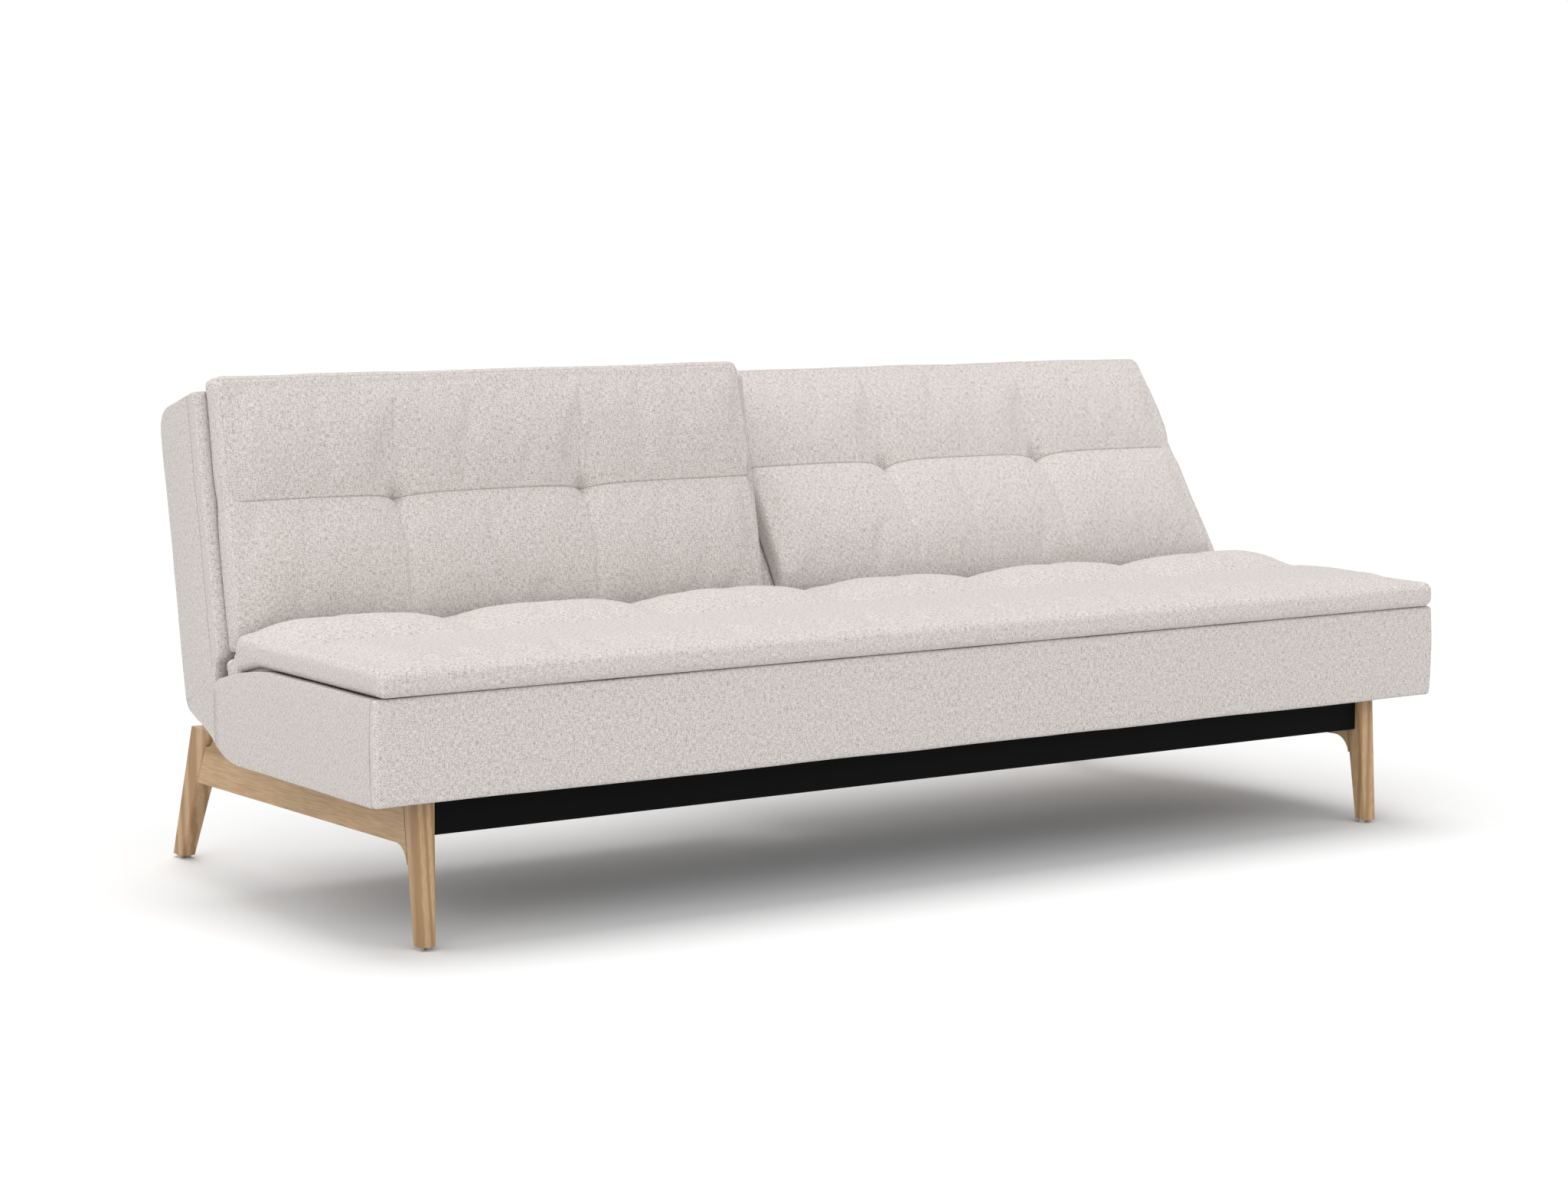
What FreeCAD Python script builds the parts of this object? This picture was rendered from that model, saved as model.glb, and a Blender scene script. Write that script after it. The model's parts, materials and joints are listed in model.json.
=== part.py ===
"""Click clack sofa bed: an oak and steel underframe, a padded seat and two backs that recline one by one.

Millimetres. X runs to the right, Y to the rear and Z up, from the middle of the floor under the sofa.
Seat pieces are drawn from the front face of the seat base and the floor. Back pieces are drawn from
their hinge axis: X along it, -Y out of the front of the back and Z up the back.
"""
import FreeCAD, Part
import math
import os
import re
import Sketcher
from FreeCAD import Vector

SIZES = (
    # the whole sofa
    ("overall_width", 2050, "width over the covers of the seat and the backs"),
    ("halves_gap", 6, "gap between the two backs"),
    ("rear_reach", 918, "front of the seat base to the back of the rear feet"),
    # seat base
    ("base_bottom", 223, "floor to the underside of the seat base"),
    ("base_height", 155, "height of the seat base"),
    ("front_border_depth", 20, "thickness of the padded front border"),
    ("end_border_depth", 20, "thickness of a padded end border"),
    ("rear_border_depth", 18, "thickness of the rear border"),
    ("border_round", 8, "round on the front border's upright corners"),
    ("undercut_start", 118, "start of the raised tail of an end border, ahead of the hinge axis"),
    ("undercut_knee_run", 60, "knee of that tail, ahead of the hinge axis"),
    ("undercut_knee_drop", 57, "knee of that tail, below the hinge axis"),
    ("tail_run", 13, "tip of that tail, ahead of the hinge axis"),
    ("tail_drop", 17, "tip of that tail, below the hinge axis"),
    ("shoulder_run", 74, "shoulder of an end border, ahead of the hinge axis"),
    ("shoulder_rise", 40, "shoulder of an end border, above the hinge axis"),
    ("slope_run", 200, "start of the slope to the shoulder, ahead of the hinge axis"),
    ("dust_cover_thickness", 2, "cloth under the seat base"),
    ("dust_cover_inset", 44, "edge of the dust cover, in from the inner faces of the legs"),
    # seat pad
    ("pad_edge", 43, "height of the seat pad at its edge"),
    ("pad_front_crown", 5, "rise of the seat pad ahead of its long seam"),
    ("pad_rear_crown", 11, "rise of the seat pad behind its long seam"),
    ("pad_seam_rise", 2, "long seam above the edge of the seat pad"),
    ("pad_seam_setback", 307, "front of the seat base to the long seam"),
    ("pad_overhang", 8, "seat pad ahead of the seat base"),
    ("pad_end_inset", 5, "seat pad in from the end of the seat base"),
    ("pad_clearance", 4, "seat pad to the nearest pass of a back pad"),
    ("tuft_dip", 7, "sink of a pad along a sewn channel"),
    ("pad_edge_round", 9, "round along the edges of the pads"),
    ("pad_end_draw", 8, "draw of a pad's ends inwards"),
    ("pad_end_run", 28, "length over which a pad's ends are drawn in"),
    # hinges
    ("pivot_setback", 605, "front of the seat base to the hinge axis"),
    ("pivot_height", 305, "floor to the hinge axis"),
    ("forward_angle", 5.5, "lean of a back pulled forward to let the pawl go, in degrees"),
    ("left_angle", 10.5, "lean of the left back as shown, upright, in degrees"),
    ("right_angle", 31.5, "lean of the right back as shown, half reclined, in degrees"),
    ("flat_angle", 90, "lean of a back that is down as a bed, in degrees"),
    ("plate", 5, "thickness of the hinge plates"),
    ("plate_gap", 0.3, "gap between the seat plate and the back arm"),
    ("pin_radius", 6, "radius of a hinge pin"),
    ("pin_play", 0.05, "radial play of the back arm on its pin"),
    ("pin_head_radius", 10, "radius of a hinge pin's head"),
    ("pin_head_height", 3, "height of a hinge pin's head"),
    ("knuckle_radius", 18, "round end of the hinge plates"),
    ("ratchet_radius", 29, "notched disc of the outer back arms"),
    ("notch_width", 6, "notch in that disc"),
    ("notch_depth", 5, "depth of a notch"),
    ("pawl_lift", 1, "tip of a lifted pawl clear of the disc"),
    ("pawl_arm", 40, "pawl pin to the tip"),
    ("pawl_thickness", 4.4, "thickness of a pawl"),
    ("pawl_pin_radius", 4, "radius of a pawl's pin"),
    ("pawl_angle", 45, "tip of the pawl, in degrees below the front of the hinge axis"),
    ("leaf_thickness", 1.5, "leaf spring under a pawl"),
    ("bolt_radius", 4, "shank of a frame bolt"),
    ("bolt_head_radius", 6.5, "head of a frame bolt"),
    ("bolt_head_height", 4.5, "height of that head"),
    # backs
    ("shell_front", 93, "front of the upholstered shell, ahead of the hinge axis"),
    ("shell_rear", 45, "rear of the shell, behind the hinge axis"),
    ("shell_top", 472, "top of the shell above the hinge axis"),
    ("shell_top_slope", 10, "fall of the shell's top to the rear"),
    ("shell_side", 31, "thickness of a side border"),
    ("shell_cap", 26, "thickness of the top border"),
    ("rear_panel", 15, "thickness of the rear panel"),
    ("hinge_pocket", 24, "round pocket in a side border over the hinge"),
    ("roll_radius", 110, "front of the rounded foot of a back, from the hinge axis"),
    ("roll_angle", 50, "degrees that the rounded foot reaches below the front"),
    ("roll_clearance", 3, "rounded foot to the rear border of the seat"),
    ("roll_end_gap", 1, "end of the rounded foot to the back's frame"),
    ("back_pad_edge", 112, "front of a back pad at its edge, ahead of the hinge axis"),
    ("back_pad_crown", 130, "front of a back pad at its crown, ahead of the hinge axis"),
    ("back_pad_bottom", 85, "foot of a back pad above the hinge axis"),
    ("back_pad_top", 492, "top of a back pad above the hinge axis"),
    ("back_pad_inset", 30, "back pad in from the end of its shell"),
    ("back_seam_height", 296, "cross seam of a back pad above the hinge axis"),
    # steel frames
    ("tube", 40, "square tube of the seat frame"),
    ("tube_wall", 2, "wall of the tubes"),
    ("back_tube", 25, "square tube of the back frames"),
    ("back_tube_front", 89, "front of the back frames, ahead of the hinge axis"),
    ("back_frame_foot", 62, "foot of the back frames above the hinge axis"),
    ("spring_wire", 4, "wire of the zigzag springs"),
    ("spring_turn", 19, "radius of a spring's turns"),
    ("spring_half_width", 40, "half the width of a spring"),
    ("spring_bearing", 8, "spring's end on its tube"),
    # underframe
    ("leg_end_inset", 88, "outer face of a leg in from the end of the seat base"),
    ("leg_thickness", 34, "thickness of a leg at its top"),
    ("foot_thickness", 25, "thickness of a leg at its foot"),
    ("foot_inset", 1, "outer face of a foot in from the leg's top"),
    ("front_leg_setback", 50, "front of the seat base to the front leg's top"),
    ("front_leg_depth", 40, "front leg at its top, front to rear"),
    ("front_foot_setback", 37, "front of the seat base to the front foot"),
    ("foot_depth", 28, "front foot, front to rear"),
    ("rear_leg_setback", 763, "front of the seat base to the rear leg's top"),
    ("rear_leg_depth", 69, "rear leg at its top, front to rear"),
    ("rear_foot_depth", 38, "rear foot, front to rear"),
    ("rear_leg_height", 229, "floor to the rear leg's top"),
    ("rail_front_drop", 73, "depth of a side rail near the front leg"),
    ("rail_rear_drop", 84, "depth of a side rail at the rear leg"),
    ("rail_web", 28, "rise of the curved web under a rail's front end"),
    ("rail_web_run", 34, "run of that web"),
    ("rail_notch", 20, "notch in a rail's top beside the rear leg"),
    ("rail_notch_run", 32, "length of that notch"),
    ("leg_round", 5, "round on the edges of the legs and rails"),
    ("rail_relief", 3, "round on the long edges of a rail"),
    ("glide_radius", 5.5, "glide under a foot"),
    ("glide_height", 6, "height of a glide"),
    ("glide_spacing", 6.2, "glides to each side of the foot's middle"),
    ("bar_setback", 60, "front of the seat base to the apron bar"),
    ("bar_depth", 25, "apron bar, front to rear"),
    ("bar_height", 56, "height of the apron bar"),
    ("lug_setback", 105, "front of the seat base to the front rail bolt"),
    ("lug_length", 62, "lug on the front tube that takes that bolt"),
    ("lug_thickness", 4, "thickness of that lug"),
    ("rail_bolt_reach", 50, "rail bolt below the seat frame"),
    ("counterbore_radius", 8, "recess for a bolt head in a rail"),
    ("joint_bolt_radius", 5, "bolt between a rail and its rear leg"),
    ("joint_bolt_reach", 12, "that bolt ahead of the rear leg, in the notch"),
    ("joint_bolt_grip", 24, "that bolt in the rear leg"),
)
NAMES = {name for name, _, _ in SIZES}
SEAT, LEFT, RIGHT = "seat", "left", "right"
SIDES = ((LEFT, -1), (RIGHT, 1))
TURNS = ("forward_angle", "left_angle", "right_angle", "flat_angle")

doc = FreeCAD.newDocument("ClickClackSofaBed")
sheet = doc.addObject("Spreadsheet::Sheet", "Sizes")
for row, (name, number, meaning) in enumerate(SIZES, start=1):
    sheet.set(f"A{row}", meaning)
    sheet.set(f"B{row}", str(number))
    sheet.setAlias(f"B{row}", name)
doc.recompute()
nodes = []
SEAT_SPRINGS = 4
BACK_SPRINGS = 4
BAYS = 3

# lengths that several pieces share
BASE_TOP = "(base_bottom + base_height)"
HALF = "(overall_width / 2)"
BORDER_REAR = "(pivot_setback - roll_radius - roll_clearance)"
TUBE_REAR = f"({BORDER_REAR} - rear_border_depth)"
TUBE_TOP = "(base_bottom + tube)"
PLATE_OUTER = "(shell_side - plate)"
ARM_START = "(shell_side + plate_gap)"
STILE_START = f"({ARM_START} + plate)"
SHELL_FOOT = "sqrt(roll_radius * roll_radius - shell_front * shell_front)"
FRAME_TOP = "(shell_top - shell_cap)"
LEG_OUTER = f"({HALF} - leg_end_inset)"
LEG_INNER = f"({LEG_OUTER} - leg_thickness)"
LEG_MIDDLE = f"({LEG_OUTER} - leg_thickness / 2)"
SHIFT = "((rear_reach - pad_overhang) / 2)"
ALONG_X = "vector(0; 1; 0); 90"
TO_FRONT = "vector(1; 0; 0); 90"
HINGE_ENDS = ("outer", "inner")


def bound(expression):
    """The expression with each size read from the sheet."""
    return re.sub(r"[a-z_]+", lambda word: "Sizes." + word[0] if word[0] in NAMES else word[0], expression)


def value(expression):
    """The expression's number as the sheet now has it."""
    return float(sheet.evalExpression(bound(expression)))


def place(piece, frame):
    """Bind the piece's placement to the seat or to the hinge axis and lean of one back."""
    if frame == SEAT:
        spot, turn = f"vector(0; -{SHIFT}; 0)", "0"
    else:
        spot, turn = f"vector(0; pivot_setback - {SHIFT}; pivot_height)", f"-{frame}_angle"
    piece.setExpression("Placement", bound(f"placement({spot}; rotation(vector(1; 0; 0); {turn}))"))


def new_body(label, frame=SEAT):
    """An empty body that becomes one node."""
    body = doc.addObject("PartDesign::Body", label)
    body.Label = label
    place(body, frame)
    nodes.append(body)
    return body


def new_sketch(body, plane, offset="0"):
    """A sketch on one of the body's origin planes, moved along the plane's normal."""
    sketch = body.newObject("Sketcher::SketchObject", body.Name + "_sketch")
    support = next(item for item in body.Origin.OriginFeatures if item.Role == plane)
    sketch.AttachmentSupport = [(support, "")]
    sketch.MapMode = "FlatFace"
    sketch.setExpression("AttachmentOffset.Base.z", bound(offset))
    return sketch


def pin_point(sketch, geometry, end, u, v):
    """Hold a sketch point at two expressions measured from the origin."""
    for kind, expression in (("DistanceX", u), ("DistanceY", v)):
        index = sketch.addConstraint(Sketcher.Constraint(kind, -1, 1, geometry, end, value(expression)))
        sketch.setExpression(f"Constraints[{index}]", bound(expression))


def add_outline(sketch, corners):
    """A closed outline. A corner is (u, v), or (u, v, radius, turn) where an arc starts, turn 1 or -1."""
    points = [Vector(value(corner[0]), value(corner[1]), 0) for corner in corners]
    ends = []
    for index, corner in enumerate(corners):
        start, finish = points[index], points[(index + 1) % len(points)]
        if len(corner) == 2:
            ends.append((sketch.addGeometry(Part.LineSegment(start, finish)), 1, 2))
            continue
        radius, turn = value(corner[2]), corner[3]
        chord = finish - start
        rise = math.sqrt(radius ** 2 - chord.Length ** 2 / 4)
        centre = (start + finish) / 2 + Vector(-chord.y, chord.x, 0) / chord.Length * rise * turn
        angles = [math.atan2(p.y - centre.y, p.x - centre.x) for p in (start, finish)][::turn]
        circle = Part.Circle(centre, Vector(0, 0, 1), radius)
        arc = sketch.addGeometry(Part.ArcOfCircle(circle, *angles))
        ends.append((arc, 1, 2) if turn == 1 else (arc, 2, 1))
        limit = sketch.addConstraint(Sketcher.Constraint("Radius", arc, radius))
        sketch.setExpression(f"Constraints[{limit}]", bound(corner[2]))
    for index, corner in enumerate(corners):
        geometry, first, last = ends[index]
        following, follow_first, _ = ends[(index + 1) % len(ends)]
        sketch.addConstraint(Sketcher.Constraint("Coincident", geometry, last, following, follow_first))
        pin_point(sketch, geometry, first, corner[0], corner[1])


def add_circle(sketch, u, v, radius):
    """A circle held at its centre and radius."""
    centre = Vector(value(u), value(v), 0)
    circle = sketch.addGeometry(Part.Circle(centre, Vector(0, 0, 1), value(radius)))
    pin_point(sketch, circle, 3, u, v)
    index = sketch.addConstraint(Sketcher.Constraint("Radius", circle, value(radius)))
    sketch.setExpression(f"Constraints[{index}]", bound(radius))


def pad(body, sketch, length):
    """Raise the sketch along its plane's normal."""
    feature = body.newObject("PartDesign::Pad", body.Name + "_pad")
    feature.Profile = sketch
    feature.setExpression("Length", bound(length))
    doc.recompute()
    return feature


def bore(body, plane, u, v, radius, middle, depth):
    """Drill a round hole through the body, half its depth to each side of the middle."""
    before = body.Shape.Volume
    sketch = new_sketch(body, plane, middle)
    add_circle(sketch, u, v, radius)
    cut_symmetric(body, sketch, depth)
    if body.Shape.Volume >= before:
        raise ValueError(f"{body.Label}: a hole cuts nothing")


def cut_symmetric(body, sketch, depth):
    """Cut the sketch away to both sides of its plane."""
    feature = body.newObject("PartDesign::Pocket", body.Name + "_cut")
    feature.Profile = sketch
    feature.SideType = "Symmetric"
    feature.setExpression("Length", bound(depth))
    doc.recompute()
    return feature


def round_edges(body, radius, wanted):
    """Fillet the edges of the body's tip that pass the test."""
    tip = body.Tip
    names = [f"Edge{i}" for i, edge in enumerate(tip.Shape.Edges, start=1) if wanted(edge)]
    fillet = body.newObject("PartDesign::Fillet", body.Name + "_round")
    fillet.Base = (tip, names)
    fillet.setExpression("Radius", bound(radius))
    doc.recompute()
    return fillet


def runs_along(edge, axis):
    """Whether a straight edge lies along the axis, to within about 25 degrees."""
    if edge.Curve.TypeId != "Part::GeomLine":
        return False
    return abs(edge.Curve.Direction.dot(axis)) > math.cos(math.radians(25))


def prism(label, start, length, corners, frame=SEAT, plane="YZ_Plane"):
    """A body of one outline raised from start by length along the plane's normal."""
    body = new_body(label, frame)
    sketch = new_sketch(body, plane, start)
    add_outline(sketch, corners)
    pad(body, sketch, length)
    return body


def rectangle(u0, u1, v0, v1):
    """Four corners, anticlockwise."""
    return [(u0, v0), (u1, v0), (u1, v1), (u0, v1)]


def tube(label, start, length, box, frame=SEAT, plane="YZ_Plane"):
    """A rectangular tube whose section is the box (u0, u1, v0, v1)."""
    body = new_body(label, frame)
    sketch = new_sketch(body, plane, start)
    add_outline(sketch, rectangle(*box))
    u0, u1, v0, v1 = box
    wall = "tube_wall"
    add_outline(sketch, rectangle(f"{u0} + {wall}", f"{u1} - {wall}", f"{v0} + {wall}", f"{v1} - {wall}"))
    pad(body, sketch, length)
    return body


def across(side, near, far):
    """Start and length along X of a piece between two distances from the sofa's middle."""
    start = near if side > 0 else f"-({far})"
    return start, f"({far}) - ({near})"


def along_back(side, end, near, far):
    """The same between two distances in from the outer or inner end of one back."""
    if end == "outer":
        return across(side, f"{HALF} - ({far})", f"{HALF} - ({near})")
    return across(side, f"halves_gap / 2 + ({near})", f"halves_gap / 2 + ({far})")


def cylinder(name, radius, height, x, y, z, turn="vector(0; 0; 1); 0"):
    """A round piece of the seat, standing on its foot or turned about an axis."""
    piece = doc.addObject("Part::Cylinder", name)
    piece.setExpression("Radius", bound(radius))
    piece.setExpression("Height", bound(height))
    piece.setExpression("Placement", bound(f"placement(vector({x}; {y} - {SHIFT}; {z}); rotation({turn}))"))
    return piece


def fused(name, pieces):
    """One solid made of touching or crossing pieces."""
    union = doc.addObject("Part::MultiFuse", name)
    union.Shapes = pieces
    return union


def group(label, pieces):
    """Identical loose pieces that share one node."""
    compound = doc.addObject("Part::Compound", label)
    compound.Label = label
    compound.Links = pieces
    nodes.append(compound)
    return compound


def shape_node(label, shape, frame):
    """A node whose form is set from curves, placed like the bodies."""
    feature = doc.addObject("Part::Feature", label)
    feature.Label = label
    feature.Shape = shape
    place(feature, frame)
    nodes.append(feature)
    return feature


def arc(start, through, end):
    """An arc edge through three points."""
    return Part.Arc(start, through, end).toShape()


def line(start, end):
    """A straight edge."""
    return Part.LineSegment(start, end).toShape()


def leg(label, side, top, foot):
    """An oak leg tapering from top to foot, each (height, setback, depth), with rounded edges."""
    body = new_body(label)
    spans = (
        across(side, LEG_INNER, LEG_OUTER),
        across(side, f"{LEG_OUTER} - foot_inset - foot_thickness", f"{LEG_OUTER} - foot_inset"),
    )
    sections = []
    for (height, setback, depth), (start, width) in zip((top, foot), spans):
        sketch = new_sketch(body, "XY_Plane", height)
        add_outline(sketch, rectangle(start, f"{start} + {width}", setback, f"{setback} + {depth}"))
        sections.append(sketch)
    loft = body.newObject("PartDesign::AdditiveLoft", label + "_loft")
    loft.Profile = sections[0]
    loft.Sections = [sections[1]]
    doc.recompute()
    round_edges(body, "leg_round", lambda edge: abs(edge.tangentAt(edge.FirstParameter).z) > 0.7)
    return body


def front_leg_rear_face(height):
    """Distance from the front of the seat base to the rear face of a front leg at a height."""
    run = "(front_leg_setback + front_leg_depth - front_foot_setback - foot_depth)"
    rise = "(base_bottom - glide_height)"
    return f"(front_foot_setback + foot_depth + {run} / {rise} * ({height} - glide_height))"


def rear_leg_front_face(height):
    """Distance from the front of the seat base to the front face of a rear leg at a height."""
    run = "(rear_reach - rear_foot_depth - rear_leg_setback)"
    rise = "(rear_leg_height - glide_height)"
    return f"(rear_leg_setback + {run} / {rise} * (rear_leg_height - {height}))"


def side_rail(label, side):
    """An oak rail: a curved web under its front end, a notch in its top beside the rear leg."""
    web_foot = "(base_bottom - rail_front_drop - rail_web)"
    rear_bottom = "(base_bottom - rail_rear_drop)"
    notch_floor = "(base_bottom - rail_notch)"
    web_front, notch_rear = front_leg_rear_face(web_foot), rear_leg_front_face(notch_floor)
    corners = [
        (front_leg_rear_face("base_bottom"), "base_bottom"),
        (web_front, web_foot, "rail_web_run", -1),
        (f"{web_front} + rail_web_run", "base_bottom - rail_front_drop"),
        (rear_leg_front_face(rear_bottom), rear_bottom),
        (notch_rear, notch_floor, "rail_notch_run * 0.9", -1),
        (f"{notch_rear} - rail_notch_run", "base_bottom"),
    ]
    body = prism(label, *across(side, f"{LEG_INNER} + rail_relief", f"{LEG_OUTER} - foot_inset"), corners)
    for setback in ("lug_setback", f"{TUBE_REAR} - tube / 2"):
        middle = f"{side} * {LEG_MIDDLE}"
        bore(body, "XY_Plane", middle, setback, "bolt_radius", "base_bottom", "2 * rail_bolt_reach + 2 * tube")
        bore(body, "XY_Plane", middle, setback, "counterbore_radius", "0", "2 * (base_bottom - rail_bolt_reach)")


def underframe():
    """Four legs, two rails, the black apron bar, the glides and the bolts of the rail joints."""
    front_top = ("base_bottom", "front_leg_setback", "front_leg_depth")
    front_foot = ("glide_height", "front_foot_setback", "foot_depth")
    rear_top = ("rear_leg_height", "rear_leg_setback", "rear_leg_depth")
    rear_foot = ("glide_height", "rear_reach - rear_foot_depth", "rear_foot_depth")
    bolt_height = "(base_bottom - rail_notch / 2)"
    bolt_rear = f"({rear_leg_front_face(bolt_height)} + joint_bolt_grip)"
    bolt_length = "(joint_bolt_reach + joint_bolt_grip)"
    for name, side in SIDES:
        leg(f"{name}_front_leg", side, front_top, front_foot)
        body = leg(f"{name}_rear_leg", side, rear_top, rear_foot)
        place_across, middle = f"{side} * {LEG_MIDDLE}", f"-({bolt_rear} - {bolt_length} / 2)"
        bore(body, "XZ_Plane", place_across, bolt_height, "joint_bolt_radius", middle, bolt_length)
        side_rail(f"{name}_side_rail", side)
    bar_top = "(base_bottom - dust_cover_thickness)"
    box = ("bar_setback", "bar_setback + bar_depth", f"{bar_top} - bar_height", bar_top)
    tube("front_apron_bar", f"-{LEG_INNER}", f"2 * {LEG_INNER}", box)

    glides, joint_bolts, rail_bolts = [], [], []
    foot_middle = f"({LEG_OUTER} - foot_inset - foot_thickness / 2)"
    recess = "(base_bottom - rail_bolt_reach)"
    for name, side in SIDES:
        for setback in ("front_foot_setback + foot_depth / 2", "rear_reach - rear_foot_depth / 2"):
            for step in (-1, 1):
                x = f"{side} * {foot_middle} + {step} * glide_spacing"
                glides.append(cylinder("glide", "glide_radius", "glide_height", x, setback, "0"))
        x = f"{side} * {LEG_MIDDLE}"
        joint_bolts.append(cylinder("joint_bolt", "joint_bolt_radius", bolt_length, x, bolt_rear, bolt_height, TO_FRONT))
        for setback in ("lug_setback", f"{TUBE_REAR} - tube / 2"):
            head_foot = f"({recess} - bolt_head_height)"
            shank = cylinder("shank", "bolt_radius", "rail_bolt_reach + lug_thickness", x, setback, recess)
            head = cylinder("head", "bolt_head_radius", "bolt_head_height", x, setback, head_foot)
            rail_bolts.append(fused("rail_bolt", [shank, head]))
    group("leg_glides", glides)
    group("leg_joint_bolts", joint_bolts)
    group("rail_bolts", rail_bolts)


def seat_frame():
    """Welded-up steel tubes: front, two rear, two ends and the centre, with zigzag springs over them."""
    end_near, end_far = f"{HALF} - shell_side - tube", f"{HALF} - shell_side"
    centre_far = f"(halves_gap / 2 + {PLATE_OUTER})"
    front = ("front_border_depth", "front_border_depth + tube", "base_bottom", TUBE_TOP)
    rear = (f"{TUBE_REAR} - tube", TUBE_REAR, "base_bottom", TUBE_TOP)
    body = tube("seat_front_tube", f"-({end_near})", f"2 * ({end_near})", front)
    lug = rectangle("front_border_depth + tube", "front_border_depth + tube + lug_length",
                    "base_bottom", "base_bottom + lug_thickness")
    for _, side in SIDES:
        sketch = new_sketch(body, "YZ_Plane", f"{side} * {LEG_MIDDLE} - leg_thickness / 2")
        add_outline(sketch, lug)
        pad(body, sketch, "leg_thickness")
    for _, side in SIDES:
        x = f"{side} * {LEG_MIDDLE}"
        bore(body, "XY_Plane", x, "lug_setback", "bolt_radius", "base_bottom", "2 * tube_wall + 2 * lug_thickness")
    for name, side in SIDES:
        body = tube(f"seat_{name}_rear_tube", *across(side, "halves_gap / 2 + shell_side", end_near), rear)
        middle = f"{TUBE_REAR} - tube / 2"
        bore(body, "XY_Plane", f"{side} * {LEG_MIDDLE}", middle, "bolt_radius", "base_bottom", "4 * tube_wall")
        start, width = across(side, end_near, end_far)
        box = (start, f"{start} + {width}", "base_bottom", TUBE_TOP)
        run = f"{TUBE_REAR} - front_border_depth"
        body = tube(f"seat_{name}_end_tube", f"-{TUBE_REAR}", run, box, plane="XZ_Plane")
        for setback, height in hinge_bolt_places():
            bore(body, "YZ_Plane", setback, height, "bolt_radius", f"{side} * ({end_far})", "4 * tube_wall")
    box = (f"-{centre_far}", centre_far, "base_bottom", TUBE_TOP)
    run = f"{TUBE_REAR} - front_border_depth - tube"
    body = tube("seat_centre_tube", f"-{TUBE_REAR}", run, box, plane="XZ_Plane")
    for _, side in SIDES:
        for setback, height in hinge_bolt_places():
            bore(body, "YZ_Plane", setback, height, "bolt_radius", f"{side} * {centre_far}", "4 * tube_wall")

    first = value("front_border_depth + tube") - value("spring_bearing")
    last = value(f"{TUBE_REAR} - tube") + value("spring_bearing")
    height = value(TUBE_TOP) + value("spring_wire") / 2
    springs = []
    for _, side in SIDES:
        for x in spread(value(centre_far), value(end_near), SEAT_SPRINGS):
            springs.append(zigzag(Vector(side * x, first, height), Vector(0, 1, 0), last - first))
    shape_node("seat_springs", Part.makeCompound(springs), SEAT)


def spread(near, far, count):
    """Even places between two distances."""
    step = (far - near) / count
    return [near + step * (index + 0.5) for index in range(count)]


def zigzag(foot, along, span):
    """A zigzag spring of straight rows and half turns from foot, for span along a direction across X."""
    rows = int(span // (2 * value("spring_turn"))) + 1
    pitch = span / (rows - 1)
    reach = Vector(value("spring_half_width") - pitch / 2, 0, 0)
    edges = []
    for row in range(rows):
        middle = foot + along * (pitch * row)
        way = 1 if row % 2 == 0 else -1
        begin = middle if row == 0 else middle - reach * way
        finish = middle if row == rows - 1 else middle + reach * way
        edges.append(line(begin, finish))
        if row < rows - 1:
            bulge = finish + Vector(way * pitch / 2, 0, 0) + along * (pitch / 2)
            edges.append(arc(finish, bulge, finish + along * pitch))
    path = Part.Wire(edges)
    section = Part.Wire(Part.makeCircle(value("spring_wire") / 2, foot, Vector(1, 0, 0)))
    return path.makePipeShell([section], True, False)


def hinge_bolt_places():
    """Setback and height of the two bolts of each seat plate."""
    return [(f"{TUBE_REAR} - tube * {share}", "base_bottom + tube / 2") for share in ("5 / 4", "7 / 4")]


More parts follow.
